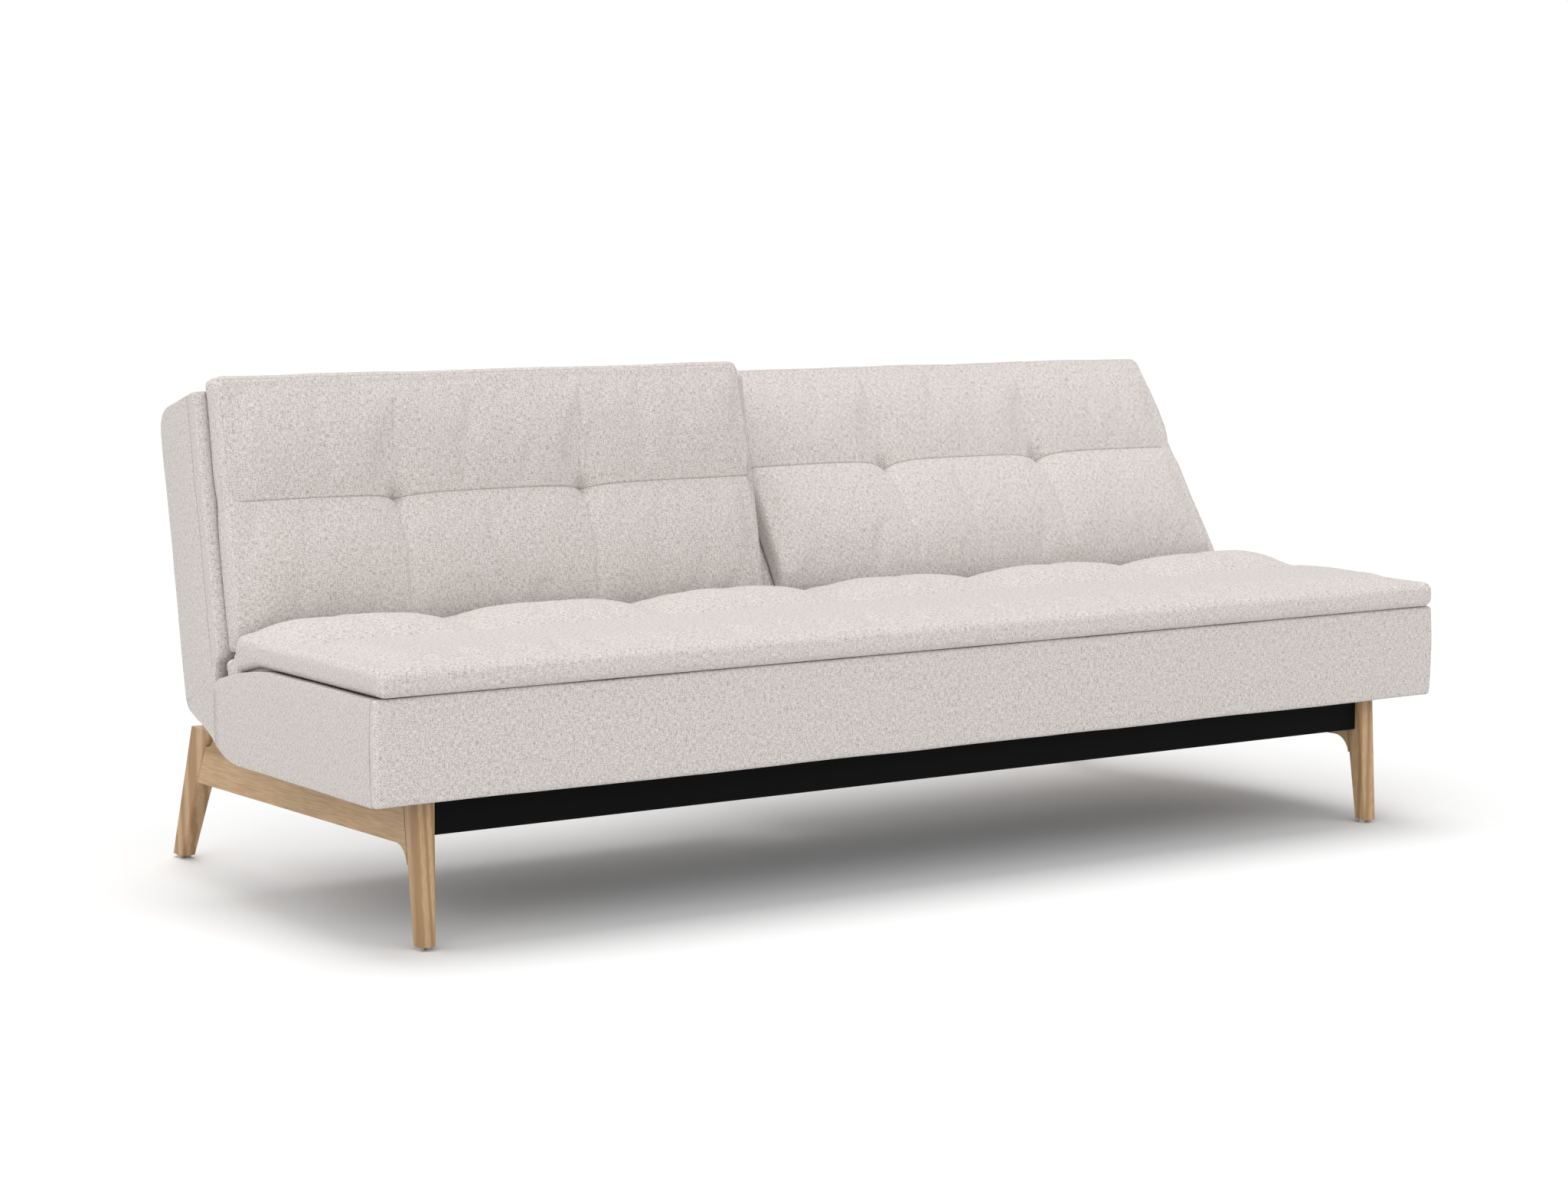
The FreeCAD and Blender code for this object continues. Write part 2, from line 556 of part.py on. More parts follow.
def seat_covers():
    """Padded borders round the seat base, the foam deck, the cloth underneath and the seat pad."""
    depth = value("front_border_depth")
    body = new_body("seat_front_border")
    sketch = new_sketch(body, "XY_Plane", "base_bottom")
    add_outline(sketch, rectangle(f"-{HALF}", HALF, "0", "front_border_depth"))
    pad(body, sketch, "base_height")
    round_edges(body, "border_round", lambda edge: runs_along(edge, Vector(0, 0, 1)) and edge.Vertexes[0].Y < depth / 2)
    outline = [
        ("front_border_depth", "base_bottom"),
        ("pivot_setback - undercut_start", "base_bottom"),
        ("pivot_setback - undercut_knee_run", "pivot_height - undercut_knee_drop"),
        ("pivot_setback - tail_run", "pivot_height - tail_drop"),
        ("pivot_setback - tail_run", "pivot_height"),
        ("pivot_setback - shoulder_run", "pivot_height + shoulder_rise"),
        ("pivot_setback - slope_run", BASE_TOP),
        ("front_border_depth", BASE_TOP),
    ]
    for name, side in SIDES:
        prism(f"seat_{name}_end_border", *across(side, f"{HALF} - end_border_depth", HALF), outline)
    span = f"({HALF} - shell_side)"
    box = rectangle(TUBE_REAR, BORDER_REAR, "base_bottom", BASE_TOP)
    body = prism("seat_rear_border", f"-{span}", f"2 * {span}", box)
    for _, side in SIDES:
        sketch = new_sketch(body, "YZ_Plane", f"{side} * (halves_gap / 2 + shell_side - plate / 2)")
        add_outline(sketch, rectangle(TUBE_REAR, BORDER_REAR, "base_bottom", "pivot_height + knuckle_radius"))
        cut_symmetric(body, sketch, "plate + 2 * plate_gap")

    deck = rectangle("front_border_depth", TUBE_REAR, f"{TUBE_TOP} + spring_wire", BASE_TOP)
    inside = f"({HALF} - end_border_depth)"
    prism("seat_foam_deck", f"-{inside}", f"2 * {inside}", deck)
    cloth = rectangle("front_border_depth", TUBE_REAR, "base_bottom - dust_cover_thickness", "base_bottom")
    reach = f"({LEG_INNER} - dust_cover_inset)"
    prism("seat_dust_cover", f"-{reach}", f"2 * {reach}", cloth)


def hinge_plates():
    """Four seat plates on the seat frame, with their pins and bolts."""
    pins, bolts = [], []
    for name, side in SIDES:
        for end in HINGE_ENDS:
            start, width = along_back(side, end, PLATE_OUTER, "shell_side")
            outline = [
                (f"{TUBE_REAR} - 2 * tube", "base_bottom + tube_wall"),
                (TUBE_REAR, "base_bottom + tube_wall"),
                ("pivot_setback + knuckle_radius * 0.7", "pivot_height - knuckle_radius * 0.7"),
                ("pivot_setback - knuckle_radius * 0.4", "pivot_height + knuckle_radius * 0.9"),
                (f"{BORDER_REAR} + rear_border_depth", "pivot_height + knuckle_radius * 0.9"),
                (TUBE_REAR, f"{TUBE_TOP} - tube_wall"),
                (f"{TUBE_REAR} - 2 * tube", f"{TUBE_TOP} - tube_wall"),
            ]
            body = prism(f"{name}_{end}_seat_plate", start, width, outline)
            sketch = new_sketch(body, "YZ_Plane", start)
            add_circle(sketch, "pivot_setback", "pivot_height", "knuckle_radius")
            pad(body, sketch, width)
            middle = f"{start} + plate / 2"
            bore(body, "YZ_Plane", "pivot_setback", "pivot_height", "pin_radius", middle, "4 * plate")
            for setback, height in hinge_bolt_places():
                bore(body, "YZ_Plane", setback, height, "bolt_radius", middle, "4 * plate")
            if end == "outer":
                y, z = pawl_point("0", "0")
                bore(body, "YZ_Plane", y, z, "pawl_pin_radius + pin_play", middle, "4 * plate")

            spot = ("pivot_setback", "pivot_height", ALONG_X)
            arm_end = f"{STILE_START} + plate_gap"
            inner_head = along_back(side, end, arm_end, f"{arm_end} + pin_head_height")
            outer_head = along_back(side, end, f"{PLATE_OUTER} - pin_head_height", PLATE_OUTER)
            shaft = along_back(side, end, PLATE_OUTER, arm_end)
            rounds = ((inner_head, "pin_head_radius"), (outer_head, "pin_head_radius"), (shaft, "pin_radius"))
            pieces = [cylinder("pin_part", radius, length, x, *spot) for (x, length), radius in rounds]
            pins.append(fused("hinge_pin", pieces))
            if end == "outer":
                head = along_back(side, end, f"{PLATE_OUTER} - bolt_head_height", PLATE_OUTER)
                shank = along_back(side, end, PLATE_OUTER, "shell_side + 2 * tube_wall")
            else:
                head = along_back(side, end, "shell_side", "shell_side + bolt_head_height")
                shank = along_back(side, end, f"{PLATE_OUTER} - 2 * tube_wall", "shell_side")
            for setback, height in hinge_bolt_places():
                rounds = ((head, "bolt_head_radius"), (shank, "bolt_radius"))
                spot = (setback, height, ALONG_X)
                pieces = [cylinder("bolt_part", radius, length, x, *spot) for (x, length), radius in rounds]
                bolts.append(fused("hinge_bolt", pieces))
    group("hinge_pins", pins)
    group("hinge_bolts", bolts)


def pawl_point(a, b):
    """Seat point of a place on a lifted pawl: a from its pin towards its tip, b towards the hinge axis."""
    reach = "(ratchet_radius + pawl_lift)"
    turn = "(pawl_angle * 1 deg)"
    y = f"pivot_setback - ({reach} - ({b})) * cos{turn} + (({a}) - pawl_arm) * sin{turn}"
    z = f"pivot_height - ({reach} - ({b})) * sin{turn} - (({a}) - pawl_arm) * cos{turn}"
    return y, z


def pawls():
    """A pawl on each outer seat plate, lifted just clear of the notched disc, and its leaf spring."""
    boss, back, step = "2 * pawl_pin_radius", "(3 * pawl_pin_radius)", "-(notch_depth + pawl_lift)"
    shape = [
        (f"-{boss}", f"-{boss}"), (f"-{boss}", boss), (boss, boss), ("pawl_arm / 3", step),
        ("pawl_arm - notch_width / 2", step), ("pawl_arm - notch_width / 3", "0"),
        ("pawl_arm + notch_width / 3", "0"), ("pawl_arm + notch_width / 2", f"-{back}"), (boss, f"-{back}"),
    ]
    under, over = f"-{back} - plate_gap - leaf_thickness", f"-{back} - plate_gap"
    strip = [("pawl_pin_radius", under), ("pawl_arm", under), ("pawl_arm", over), ("pawl_pin_radius", over)]
    leaves = []
    for name, side in SIDES:
        near = "shell_side + plate_gap"
        start, width = along_back(side, "outer", near, f"{near} + pawl_thickness")
        body = prism(f"{name}_pawl", start, width, [pawl_point(a, b) for a, b in shape][::-1])
        start, width = along_back(side, "outer", PLATE_OUTER, near)
        sketch = new_sketch(body, "YZ_Plane", start)
        add_circle(sketch, *pawl_point("0", "0"), "pawl_pin_radius")
        pad(body, sketch, width)
        start, width = along_back(side, "outer", "shell_side", "shell_side + pawl_thickness")
        leaf = doc.addObject("PartDesign::Body", f"{name}_pawl_leaf")
        place(leaf, SEAT)
        sketch = new_sketch(leaf, "YZ_Plane", start)
        add_outline(sketch, [pawl_point(a, b) for a, b in strip][::-1])
        pad(leaf, sketch, width)
        leaves.append(leaf)
    group("pawl_leaf_springs", leaves)


def back_arm(name, side, end):
    """A hinge arm on a back's frame. The outer one ends in a disc with a notch for each position."""
    start, width = along_back(side, end, ARM_START, STILE_START)
    front, rear = "(back_tube_front + tube_wall)", "(back_tube_front - back_tube - tube_wall)"
    head = f"({SHELL_FOOT} + 2 * back_tube)"
    outline = [
        (f"-{front}", head), (f"-{front}", "back_frame_foot"), ("-knuckle_radius * 1.2", "0"),
        ("0", "knuckle_radius * 0.9"), (f"-{rear}", "back_frame_foot + back_tube / 2"), (f"-{rear}", head),
    ]
    body = prism(f"{name}_{end}_back_arm", start, width, outline, name)
    sketch = new_sketch(body, "YZ_Plane", start)
    add_circle(sketch, "0", "0", "ratchet_radius" if end == "outer" else "knuckle_radius")
    pad(body, sketch, width)
    middle = f"{start} + plate / 2"
    bore(body, "YZ_Plane", "0", "0", "pin_radius + pin_play", middle, "4 * plate")
    if end == "inner":
        return
    for lean in TURNS:
        turn = f"((pawl_angle + {lean}) * 1 deg)"
        corners = []
        for reach, step in (("-", -1), ("+", -1), ("+", 1), ("-", 1)):
            radius, half = f"(ratchet_radius {reach} notch_depth)", f"({step} * notch_width / 2)"
            along, over = f"-{radius} * cos{turn} + {half} * sin{turn}", f"-{radius} * sin{turn} - {half} * cos{turn}"
            corners.append((along, over))
        sketch = new_sketch(body, "YZ_Plane", middle)
        add_outline(sketch, corners)
        cut_symmetric(body, sketch, "4 * plate")


def back_frame(name, side):
    """Two stiles, two rails and zigzag springs of one back."""
    front, rear = "back_tube_front", "(back_tube_front - back_tube)"
    far = f"({STILE_START} + back_tube)"
    for end in HINGE_ENDS:
        start, width = along_back(side, end, STILE_START, far)
        box = (start, f"{start} + {width}", f"-{front}", f"-{rear}")
        run = f"{FRAME_TOP} - back_frame_foot"
        tube(f"{name}_back_{end}_stile", "back_frame_foot", run, box, name, "XY_Plane")
    start, width = across(side, f"halves_gap / 2 + {far}", f"{HALF} - {far}")
    for level, foot in (("bottom", "back_frame_foot"), ("top", f"{FRAME_TOP} - back_tube")):
        tube(f"{name}_back_{level}_tube", start, width, (f"-{front}", f"-{rear}", foot, f"{foot} + back_tube"), name)
    first = value("back_frame_foot + back_tube") - value("spring_bearing")
    last = value(f"{FRAME_TOP} - back_tube") + value("spring_bearing")
    near, stop = value(f"halves_gap / 2 + {far}"), value(f"{HALF} - {far}")
    depth = -value(front) - value("spring_wire") / 2
    springs = []
    for x in spread(near, stop, BACK_SPRINGS):
        springs.append(zigzag(Vector(side * x, depth, first), Vector(0, 0, 1), last - first))
    shape_node(f"{name}_back_springs", Part.makeCompound(springs), name)


def back_shell(name, side):
    """Upholstered shell of one back: rear panel, top and side borders and the rounded foot."""
    start, width = across(side, "halves_gap / 2", HALF)
    panel_front = "(shell_rear - rear_panel)"
    start_inside, width_inside = across(side, "halves_gap / 2 + shell_side", f"{HALF} - shell_side")
    panel = rectangle(panel_front, "shell_rear", "pin_radius", FRAME_TOP)
    prism(f"{name}_back_rear_panel", start_inside, width_inside, panel, name)
    cap = [("-shell_front", FRAME_TOP), ("shell_rear", FRAME_TOP),
           ("shell_rear", "shell_top - shell_top_slope"), ("-shell_front", "shell_top")]
    body = prism(f"{name}_back_top_border", start, width, cap, name)
    middle = value("shell_top - shell_cap / 2")
    round_edges(body, "border_round", lambda edge: runs_along(edge, Vector(1, 0, 0)) and edge.Vertexes[0].Z > middle)
    side_outline = [
        ("-shell_front", SHELL_FOOT), ("-shell_front * 0.62", f"{SHELL_FOOT} * 0.6"), ("0", "pin_radius * 1.4"),
        ("shell_rear", "0"), ("shell_rear", FRAME_TOP), ("-shell_front", FRAME_TOP),
    ]
    for end in HINGE_ENDS:
        start, width = along_back(side, end, "0", "shell_side")
        body = prism(f"{name}_back_{end}_border", start, width, side_outline, name)
        inner, _ = along_back(side, end, "shell_side", "shell_side")
        bore(body, "YZ_Plane", "0", "0", "hinge_pocket", inner, "2 * (plate + 2 * pin_head_height)")
    far = f"({STILE_START} + back_tube + roll_end_gap)"
    turn = "(roll_angle * 1 deg)"
    roll = [
        ("-shell_front", SHELL_FOOT, "roll_radius", 1),
        (f"-roll_radius * cos{turn}", f"-roll_radius * sin{turn}"),
        ("-pin_radius", "0"),
        (panel_front, "pin_radius"),
        (panel_front, SHELL_FOOT),
    ]
    prism(f"{name}_back_foot_roll", *across(side, f"halves_gap / 2 + {far}", f"{HALF} - {far}"), roll, name)


def seat_pad():
    """The seat pad: a long seam, puffed bays behind it, and channels front to rear at the tufts."""
    foot, edge = value(BASE_TOP), value(f"{BASE_TOP} + pad_edge")
    seam, seam_top = value("pad_seam_setback"), edge + value("pad_seam_rise")
    forward = math.radians(value("forward_angle"))
    reach = value("back_pad_crown") * math.cos(forward) - value("back_pad_bottom") * math.sin(forward)
    rear = value("pivot_setback") - reach - value("pad_clearance")
    half = value(f"{HALF} - pad_end_inset")

    def section(x, draw, dip):
        front, back = -value("pad_overhang") + draw, rear - draw
        top, crown = edge - draw, value("pad_front_crown") - dip / 2
        ridge = max(value("pad_rear_crown") - draw - dip, value("pad_seam_rise") / 2)
        knee = value("pad_edge_round")
        points = [Vector(x, y, z) for y, z in (
            (front + knee, foot), (front, foot + knee), (front, top - knee), (front + knee, top),
            (seam, seam_top - draw - dip / 3), (back - 2 * knee, top), (back, top - 2 * knee), (back, foot))]
        a, b, c, d, e, f, g, i = points
        slant = knee * (1 - math.sqrt(0.5))
        return Part.Wire([
            arc(a, Vector(x, front + slant, foot + slant), b), line(b, c),
            arc(c, Vector(x, front + slant, top - slant), d),
            arc(d, (d + e) / 2 + Vector(0, 0, crown), e),
            arc(e, (e + f) / 2 + Vector(0, 0, ridge), f),
            arc(f, Vector(x, back - 2 * slant, top - 2 * slant), g), line(g, i), line(i, a)])

    bay = (value(HALF) - value("halves_gap") / 2) / BAYS
    stations = [(-half, value("pad_end_draw"), 0), (-half + value("pad_end_run"), 0, 0)]
    stations += quilt_stations([bay * step for step in range(-BAYS, BAYS + 1)], value("tuft_dip"))
    stations += [(half - value("pad_end_run"), 0, 0), (half, value("pad_end_draw"), 0)]
    shape_node("seat_pad", loft([section(*station) for station in stations]), SEAT)


def quilt_stations(channels, dip):
    """Stations (place, draw, dip) across bays: a sewn channel between two bays dips, a bay's middle doesn't."""
    stations = []
    for left_edge, right_edge in zip(channels, channels[1:]):
        stations.append(((left_edge + right_edge) / 2, 0, 0))
        stations.append((right_edge, 0, dip))
    return stations[:-1]


def back_pad(name, side):
    """One back pad: a cross seam and two upright channels that meet it at the tufts."""
    rear = -value("shell_front")
    foot, top, seam = value("back_pad_bottom"), value("back_pad_top"), value("back_seam_height")
    near = value("halves_gap / 2") + value("back_pad_inset")
    far = value(HALF) - value("back_pad_inset")

    def section(x, draw, dip):
        front = -value("back_pad_edge") + draw / 2
        crown = value("back_pad_crown") - value("back_pad_edge") - dip
        low, high = foot + draw, top - draw
        knee = value("pad_edge_round")
        slant = knee * (1 - math.sqrt(0.5))
        points = [Vector(x, y, z) for y, z in (
            (rear, low), (front + knee, low), (front, low + knee), (front + dip / 2, seam),
            (front, high - 2 * knee), (front + knee, high - knee / 2), (rear, high - knee))]
        a, b, c, d, e, f, g = points
        return Part.Wire([
            line(a, b), arc(b, Vector(x, front + slant, low + slant), c),
            arc(c, (c + d) / 2 - Vector(0, crown, 0), d), arc(d, (d + e) / 2 - Vector(0, crown, 0), e),
            arc(e, (e + f) / 2 + Vector(0, -slant / 2, slant / 2), f), line(f, g), line(g, a)])

    width = value(HALF) - value("halves_gap / 2")
    channels = [value("halves_gap / 2") + width / BAYS * step for step in range(BAYS + 1)]
    stations = [(near, value("pad_end_draw"), 0), (near + value("pad_end_run"), 0, 0)]
    stations += quilt_stations(channels, value("tuft_dip"))
    stations += [(far - value("pad_end_run"), 0, 0), (far, value("pad_end_draw"), 0)]
    stations = [(side * x, draw, dip) for x, draw, dip in stations][::side]
    shape_node(f"{name}_back_pad", loft([section(*station) for station in stations]), name)


def loft(wires):
    """A straight-sided loft through the wires."""
    solid = Part.makeLoft(wires, True, True)
    if solid.Volume < 0:
        solid.reverse()
    return solid


def check_and_write():
    """Stop at any failed object or shape, then write each node's solid."""
    doc.recompute()
    failed = [item.Name for item in doc.Objects if {"Invalid", "Error"} & set(item.State)]
    if failed:
        raise ValueError(f"failed objects: {failed}")
    os.makedirs("parts", exist_ok=True)
    for node in nodes:
        if node.Shape.isNull() or not node.Shape.isValid():
            raise ValueError(f"{node.Label}: bad shape")
        node.Shape.exportStep(f"parts/{node.Label}.step")


underframe()
seat_frame()
seat_covers()
hinge_plates()
pawls()
seat_pad()
for NAME, SIDE in SIDES:
    for END in HINGE_ENDS:
        back_arm(NAME, SIDE, END)
    back_frame(NAME, SIDE)
    back_shell(NAME, SIDE)
    back_pad(NAME, SIDE)
check_and_write()
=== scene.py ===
"""Finishes of a click clack sofa bed: covers, pads, oak, steel, studio floor and camera."""

import json
import math

import bmesh
import bpy
from mathutils import Matrix, Vector, noise
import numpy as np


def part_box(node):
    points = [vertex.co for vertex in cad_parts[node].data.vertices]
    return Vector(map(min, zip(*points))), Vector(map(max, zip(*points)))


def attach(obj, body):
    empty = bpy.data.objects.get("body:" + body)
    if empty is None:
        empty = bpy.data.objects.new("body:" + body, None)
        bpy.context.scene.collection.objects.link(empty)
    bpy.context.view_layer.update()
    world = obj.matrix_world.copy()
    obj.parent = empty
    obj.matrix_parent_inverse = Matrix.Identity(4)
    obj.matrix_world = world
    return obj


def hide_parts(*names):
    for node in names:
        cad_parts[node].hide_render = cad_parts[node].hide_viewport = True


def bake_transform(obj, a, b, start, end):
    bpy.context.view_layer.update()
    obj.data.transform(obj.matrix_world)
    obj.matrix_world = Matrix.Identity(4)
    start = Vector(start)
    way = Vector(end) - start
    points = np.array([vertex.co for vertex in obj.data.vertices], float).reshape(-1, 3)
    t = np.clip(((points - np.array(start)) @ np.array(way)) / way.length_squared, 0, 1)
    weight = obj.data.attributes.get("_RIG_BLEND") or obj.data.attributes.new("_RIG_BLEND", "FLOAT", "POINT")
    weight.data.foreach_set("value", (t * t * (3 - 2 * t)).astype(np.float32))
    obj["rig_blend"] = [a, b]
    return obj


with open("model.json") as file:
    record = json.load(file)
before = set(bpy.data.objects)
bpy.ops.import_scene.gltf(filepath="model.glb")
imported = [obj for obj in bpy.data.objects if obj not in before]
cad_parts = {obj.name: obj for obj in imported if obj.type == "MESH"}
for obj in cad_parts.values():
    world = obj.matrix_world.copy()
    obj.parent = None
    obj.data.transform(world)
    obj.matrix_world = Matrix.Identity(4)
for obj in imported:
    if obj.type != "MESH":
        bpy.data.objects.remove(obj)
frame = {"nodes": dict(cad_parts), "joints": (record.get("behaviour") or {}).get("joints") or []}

bl_info = {
    "name": "Click clack sofa bed",
    "version": (1, 0, 0),
    "blender": (4, 5, 0),
    "location": "View3D > Sidebar > Sofa bed",
    "description": "Dresses the frame of a click clack sofa bed",
    "category": "Add Mesh",
}

COVER = "cover fabric"
MM = 0.001
SIDES = {"left": -1, "right": 1}
# From the front of the base to the rear ends of its end panels
TAIL_END = 0.535
CAMERA_PLACE = (-3.1468, -4.657, 1.0598)
CAMERA_TURN = (83.47, 0, -33.81)
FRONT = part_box("seat_front_border")[0][1]
BASE_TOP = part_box("seat_front_border")[1][2]
BASE_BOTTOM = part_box("seat_front_border")[0][2]
HALF_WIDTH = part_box("seat_front_border")[1][0]
HINGE = Vector(next(j["pos_m"] for j in frame["joints"] if j["name"] == "left_back_hinge"))
HINGE.x = 0


def lean_of(side):
    """Lean of a back as the frame stands, from its travel down to the flat bed."""
    joint = next(j for j in frame["joints"] if j["name"] == f"{side}_back_hinge")
    return math.radians(90 - joint["range_deg"][1])


def back_place(side):
    """Turns a back's own frame (x, front to rear from the hinge, up the back) to the sofa's frame."""
    return Matrix.Translation(HINGE) @ Matrix.Rotation(-lean_of(side), 4, "X")


class SofaSizes(bpy.types.PropertyGroup):
    base_round: bpy.props.FloatProperty(
        name="Base round", description="Round on the long edges of the seat base",
        default=0.012, unit="LENGTH")
    panel_puff: bpy.props.FloatProperty(
        name="Panel puff", description="Swell of the padded panels of the base and backs",
        default=0.003, unit="LENGTH")
    corner_wrap: bpy.props.FloatProperty(
        name="Corner wrap", description="How far the front panel turns round each front corner",
        default=0.012, unit="LENGTH")
    cushion_round: bpy.props.FloatProperty(
        name="Cushion round", description="Round on the top edges of the seat cushion",
        default=0.014, unit="LENGTH")
    seam_depth: bpy.props.FloatProperty(
        name="Seam depth", description="Depth of a sewn seam below the fabric round it",
        default=0.0011, unit="LENGTH")
    seam_width: bpy.props.FloatProperty(
        name="Seam width", description="Half the width of a sewn seam's groove",
        default=0.0017, unit="LENGTH")
    slack: bpy.props.FloatProperty(
        name="Slack", description="Height of the slow waves in stretched fabric",
        default=0.0012, unit="LENGTH")
    fill_pressure: bpy.props.FloatProperty(
        name="Fill pressure", description="Pressure of the filling in the simulated cushions",
        default=2.0)
    tuft_depth: bpy.props.FloatProperty(
        name="Tuft depth", description="Depth of a tuft in a back cushion",
        default=0.017, unit="LENGTH")
    tuft_gather: bpy.props.FloatProperty(
        name="Gather length", description="Length of the gathers above a tuft",
        default=0.085, unit="LENGTH")


class SofaColours(bpy.types.PropertyGroup):
    fabric: bpy.props.FloatVectorProperty(
        name="Fabric", description="Main colour of the woven cover",
        default=(0.690, 0.646, 0.620), subtype="COLOR")
    fabric_dark: bpy.props.FloatVectorProperty(
        name="Fabric flecks", description="Dark threads of the woven cover",
        default=(0.300, 0.225, 0.190), subtype="COLOR")
    seam: bpy.props.FloatVectorProperty(
        name="Seam thread", description="Shaded thread in the sewn seams",
        default=(0.280, 0.205, 0.175), subtype="COLOR")
    fabric_light: bpy.props.FloatVectorProperty(
        name="Fabric lights", description="Pale threads of the woven cover",
        default=(0.880, 0.850, 0.830), subtype="COLOR")
    oak: bpy.props.FloatVectorProperty(
        name="Oak", description="Pale wood between the grain lines",
        default=(0.605, 0.412, 0.235), subtype="COLOR")
    oak_grain: bpy.props.FloatVectorProperty(
        name="Oak grain", description="Grain lines of the oak",
        default=(0.360, 0.205, 0.095), subtype="COLOR")


class StudioSettings(bpy.types.PropertyGroup):
    lens: bpy.props.FloatProperty(
        name="Lens", description="Focal length of the camera", default=77.25)
    overhead: bpy.props.FloatProperty(
        name="Overhead light", description="Strength of the soft light above", default=1.14)
    front: bpy.props.FloatProperty(
        name="Front light", description="Strength of the soft light in front", default=1.27)
    surroundings: bpy.props.FloatProperty(
        name="Surroundings", description="Strength of the grey room", default=0.33)
    left: bpy.props.FloatProperty(
        name="Left light", description="Strength of the soft light at the left", default=1.06)
    floor_lift: bpy.props.FloatProperty(
        name="Floor lift", description="Floor colour as the camera sees it", default=0.99)


# Materials

def new_material(name):
    """A material with its nodes, links and main shader."""
    material = bpy.data.materials.new(name)
    material.use_nodes = True
    nodes = material.node_tree.nodes
    return material, nodes, material.node_tree.links, nodes["Principled BSDF"]


def mapped(nodes, links, source, scale, turn=(0, 0, 0)):
    """Stretches and turns a texture's place."""
    mapping = nodes.new("ShaderNodeMapping")
    mapping.inputs["Scale"].default_value = scale
    mapping.inputs["Rotation"].default_value = turn
    links.new(source, mapping.inputs["Vector"])
    return mapping.outputs["Vector"]


def noise_field(nodes, links, vector, scale, detail):
    """Cloudy values about 0.5."""
    field = nodes.new("ShaderNodeTexNoise")
    field.inputs["Scale"].default_value = scale
    field.inputs["Detail"].default_value = detail
    links.new(vector, field.inputs["Vector"])
    return field.outputs["Fac"]


def remap(nodes, links, value, low, high, to_low=0.0, to_high=1.0):
    """Carries values from low to high over to another range."""
    node = nodes.new("ShaderNodeMapRange")
    node.inputs["From Min"].default_value = low
    node.inputs["From Max"].default_value = high
    node.inputs["To Min"].default_value = to_low
    node.inputs["To Max"].default_value = to_high
    links.new(value, node.inputs["Value"])
    return node.outputs["Result"]


def blended(nodes, links, factor, first, second, kind="MIX"):
    """Mixes two colours or sockets."""
    node = nodes.new("ShaderNodeMix")
    node.data_type = "RGBA"
    node.blend_type = kind
    if isinstance(factor, float):
        node.inputs["Factor"].default_value = factor
    else:
        links.new(factor, node.inputs["Factor"])
    for socket, colour in (("A", first), ("B", second)):
        target = next(s for s in node.inputs if s.name == socket and s.type == "RGBA")
        if isinstance(colour, bpy.types.NodeSocket):
            links.new(colour, target)
        else:
            target.default_value = (*colour, 1.0)
    return next(s for s in node.outputs if s.type == "RGBA")


def combined(nodes, links, operation, first, second):
    """Joins two numbers or sockets by one operation."""
    node = nodes.new("ShaderNodeMath")
    node.operation = operation
    for socket, value in zip(node.inputs, (first, second)):
        if isinstance(value, bpy.types.NodeSocket):
            links.new(value, socket)
        else:
            socket.default_value = value
    return node.outputs["Value"]


def grey_of(nodes, links, value):
    """A grey as bright as a value."""
    grey = nodes.new("ShaderNodeCombineColor")
    for channel in ("Red", "Green", "Blue"):
        links.new(value, grey.inputs[channel])
    return grey.outputs["Color"]


def toned(nodes, links, shader, body, tone):
    """Gives the shader a colour, made lighter or darker by a tone about 1."""
    colour = blended(nodes, links, 1.0, body, grey_of(nodes, links, tone), "MULTIPLY")
    links.new(colour, shader.inputs["Base Color"])


def roughen(nodes, links, shader, height, strength, distance):
    """Gives the shader fine relief, distance high."""
    bump = nodes.new("ShaderNodeBump")
    bump.inputs["Strength"].default_value = strength
    bump.inputs["Distance"].default_value = distance
    links.new(height, bump.inputs["Height"])
    links.new(bump.outputs["Normal"], shader.inputs["Normal"])


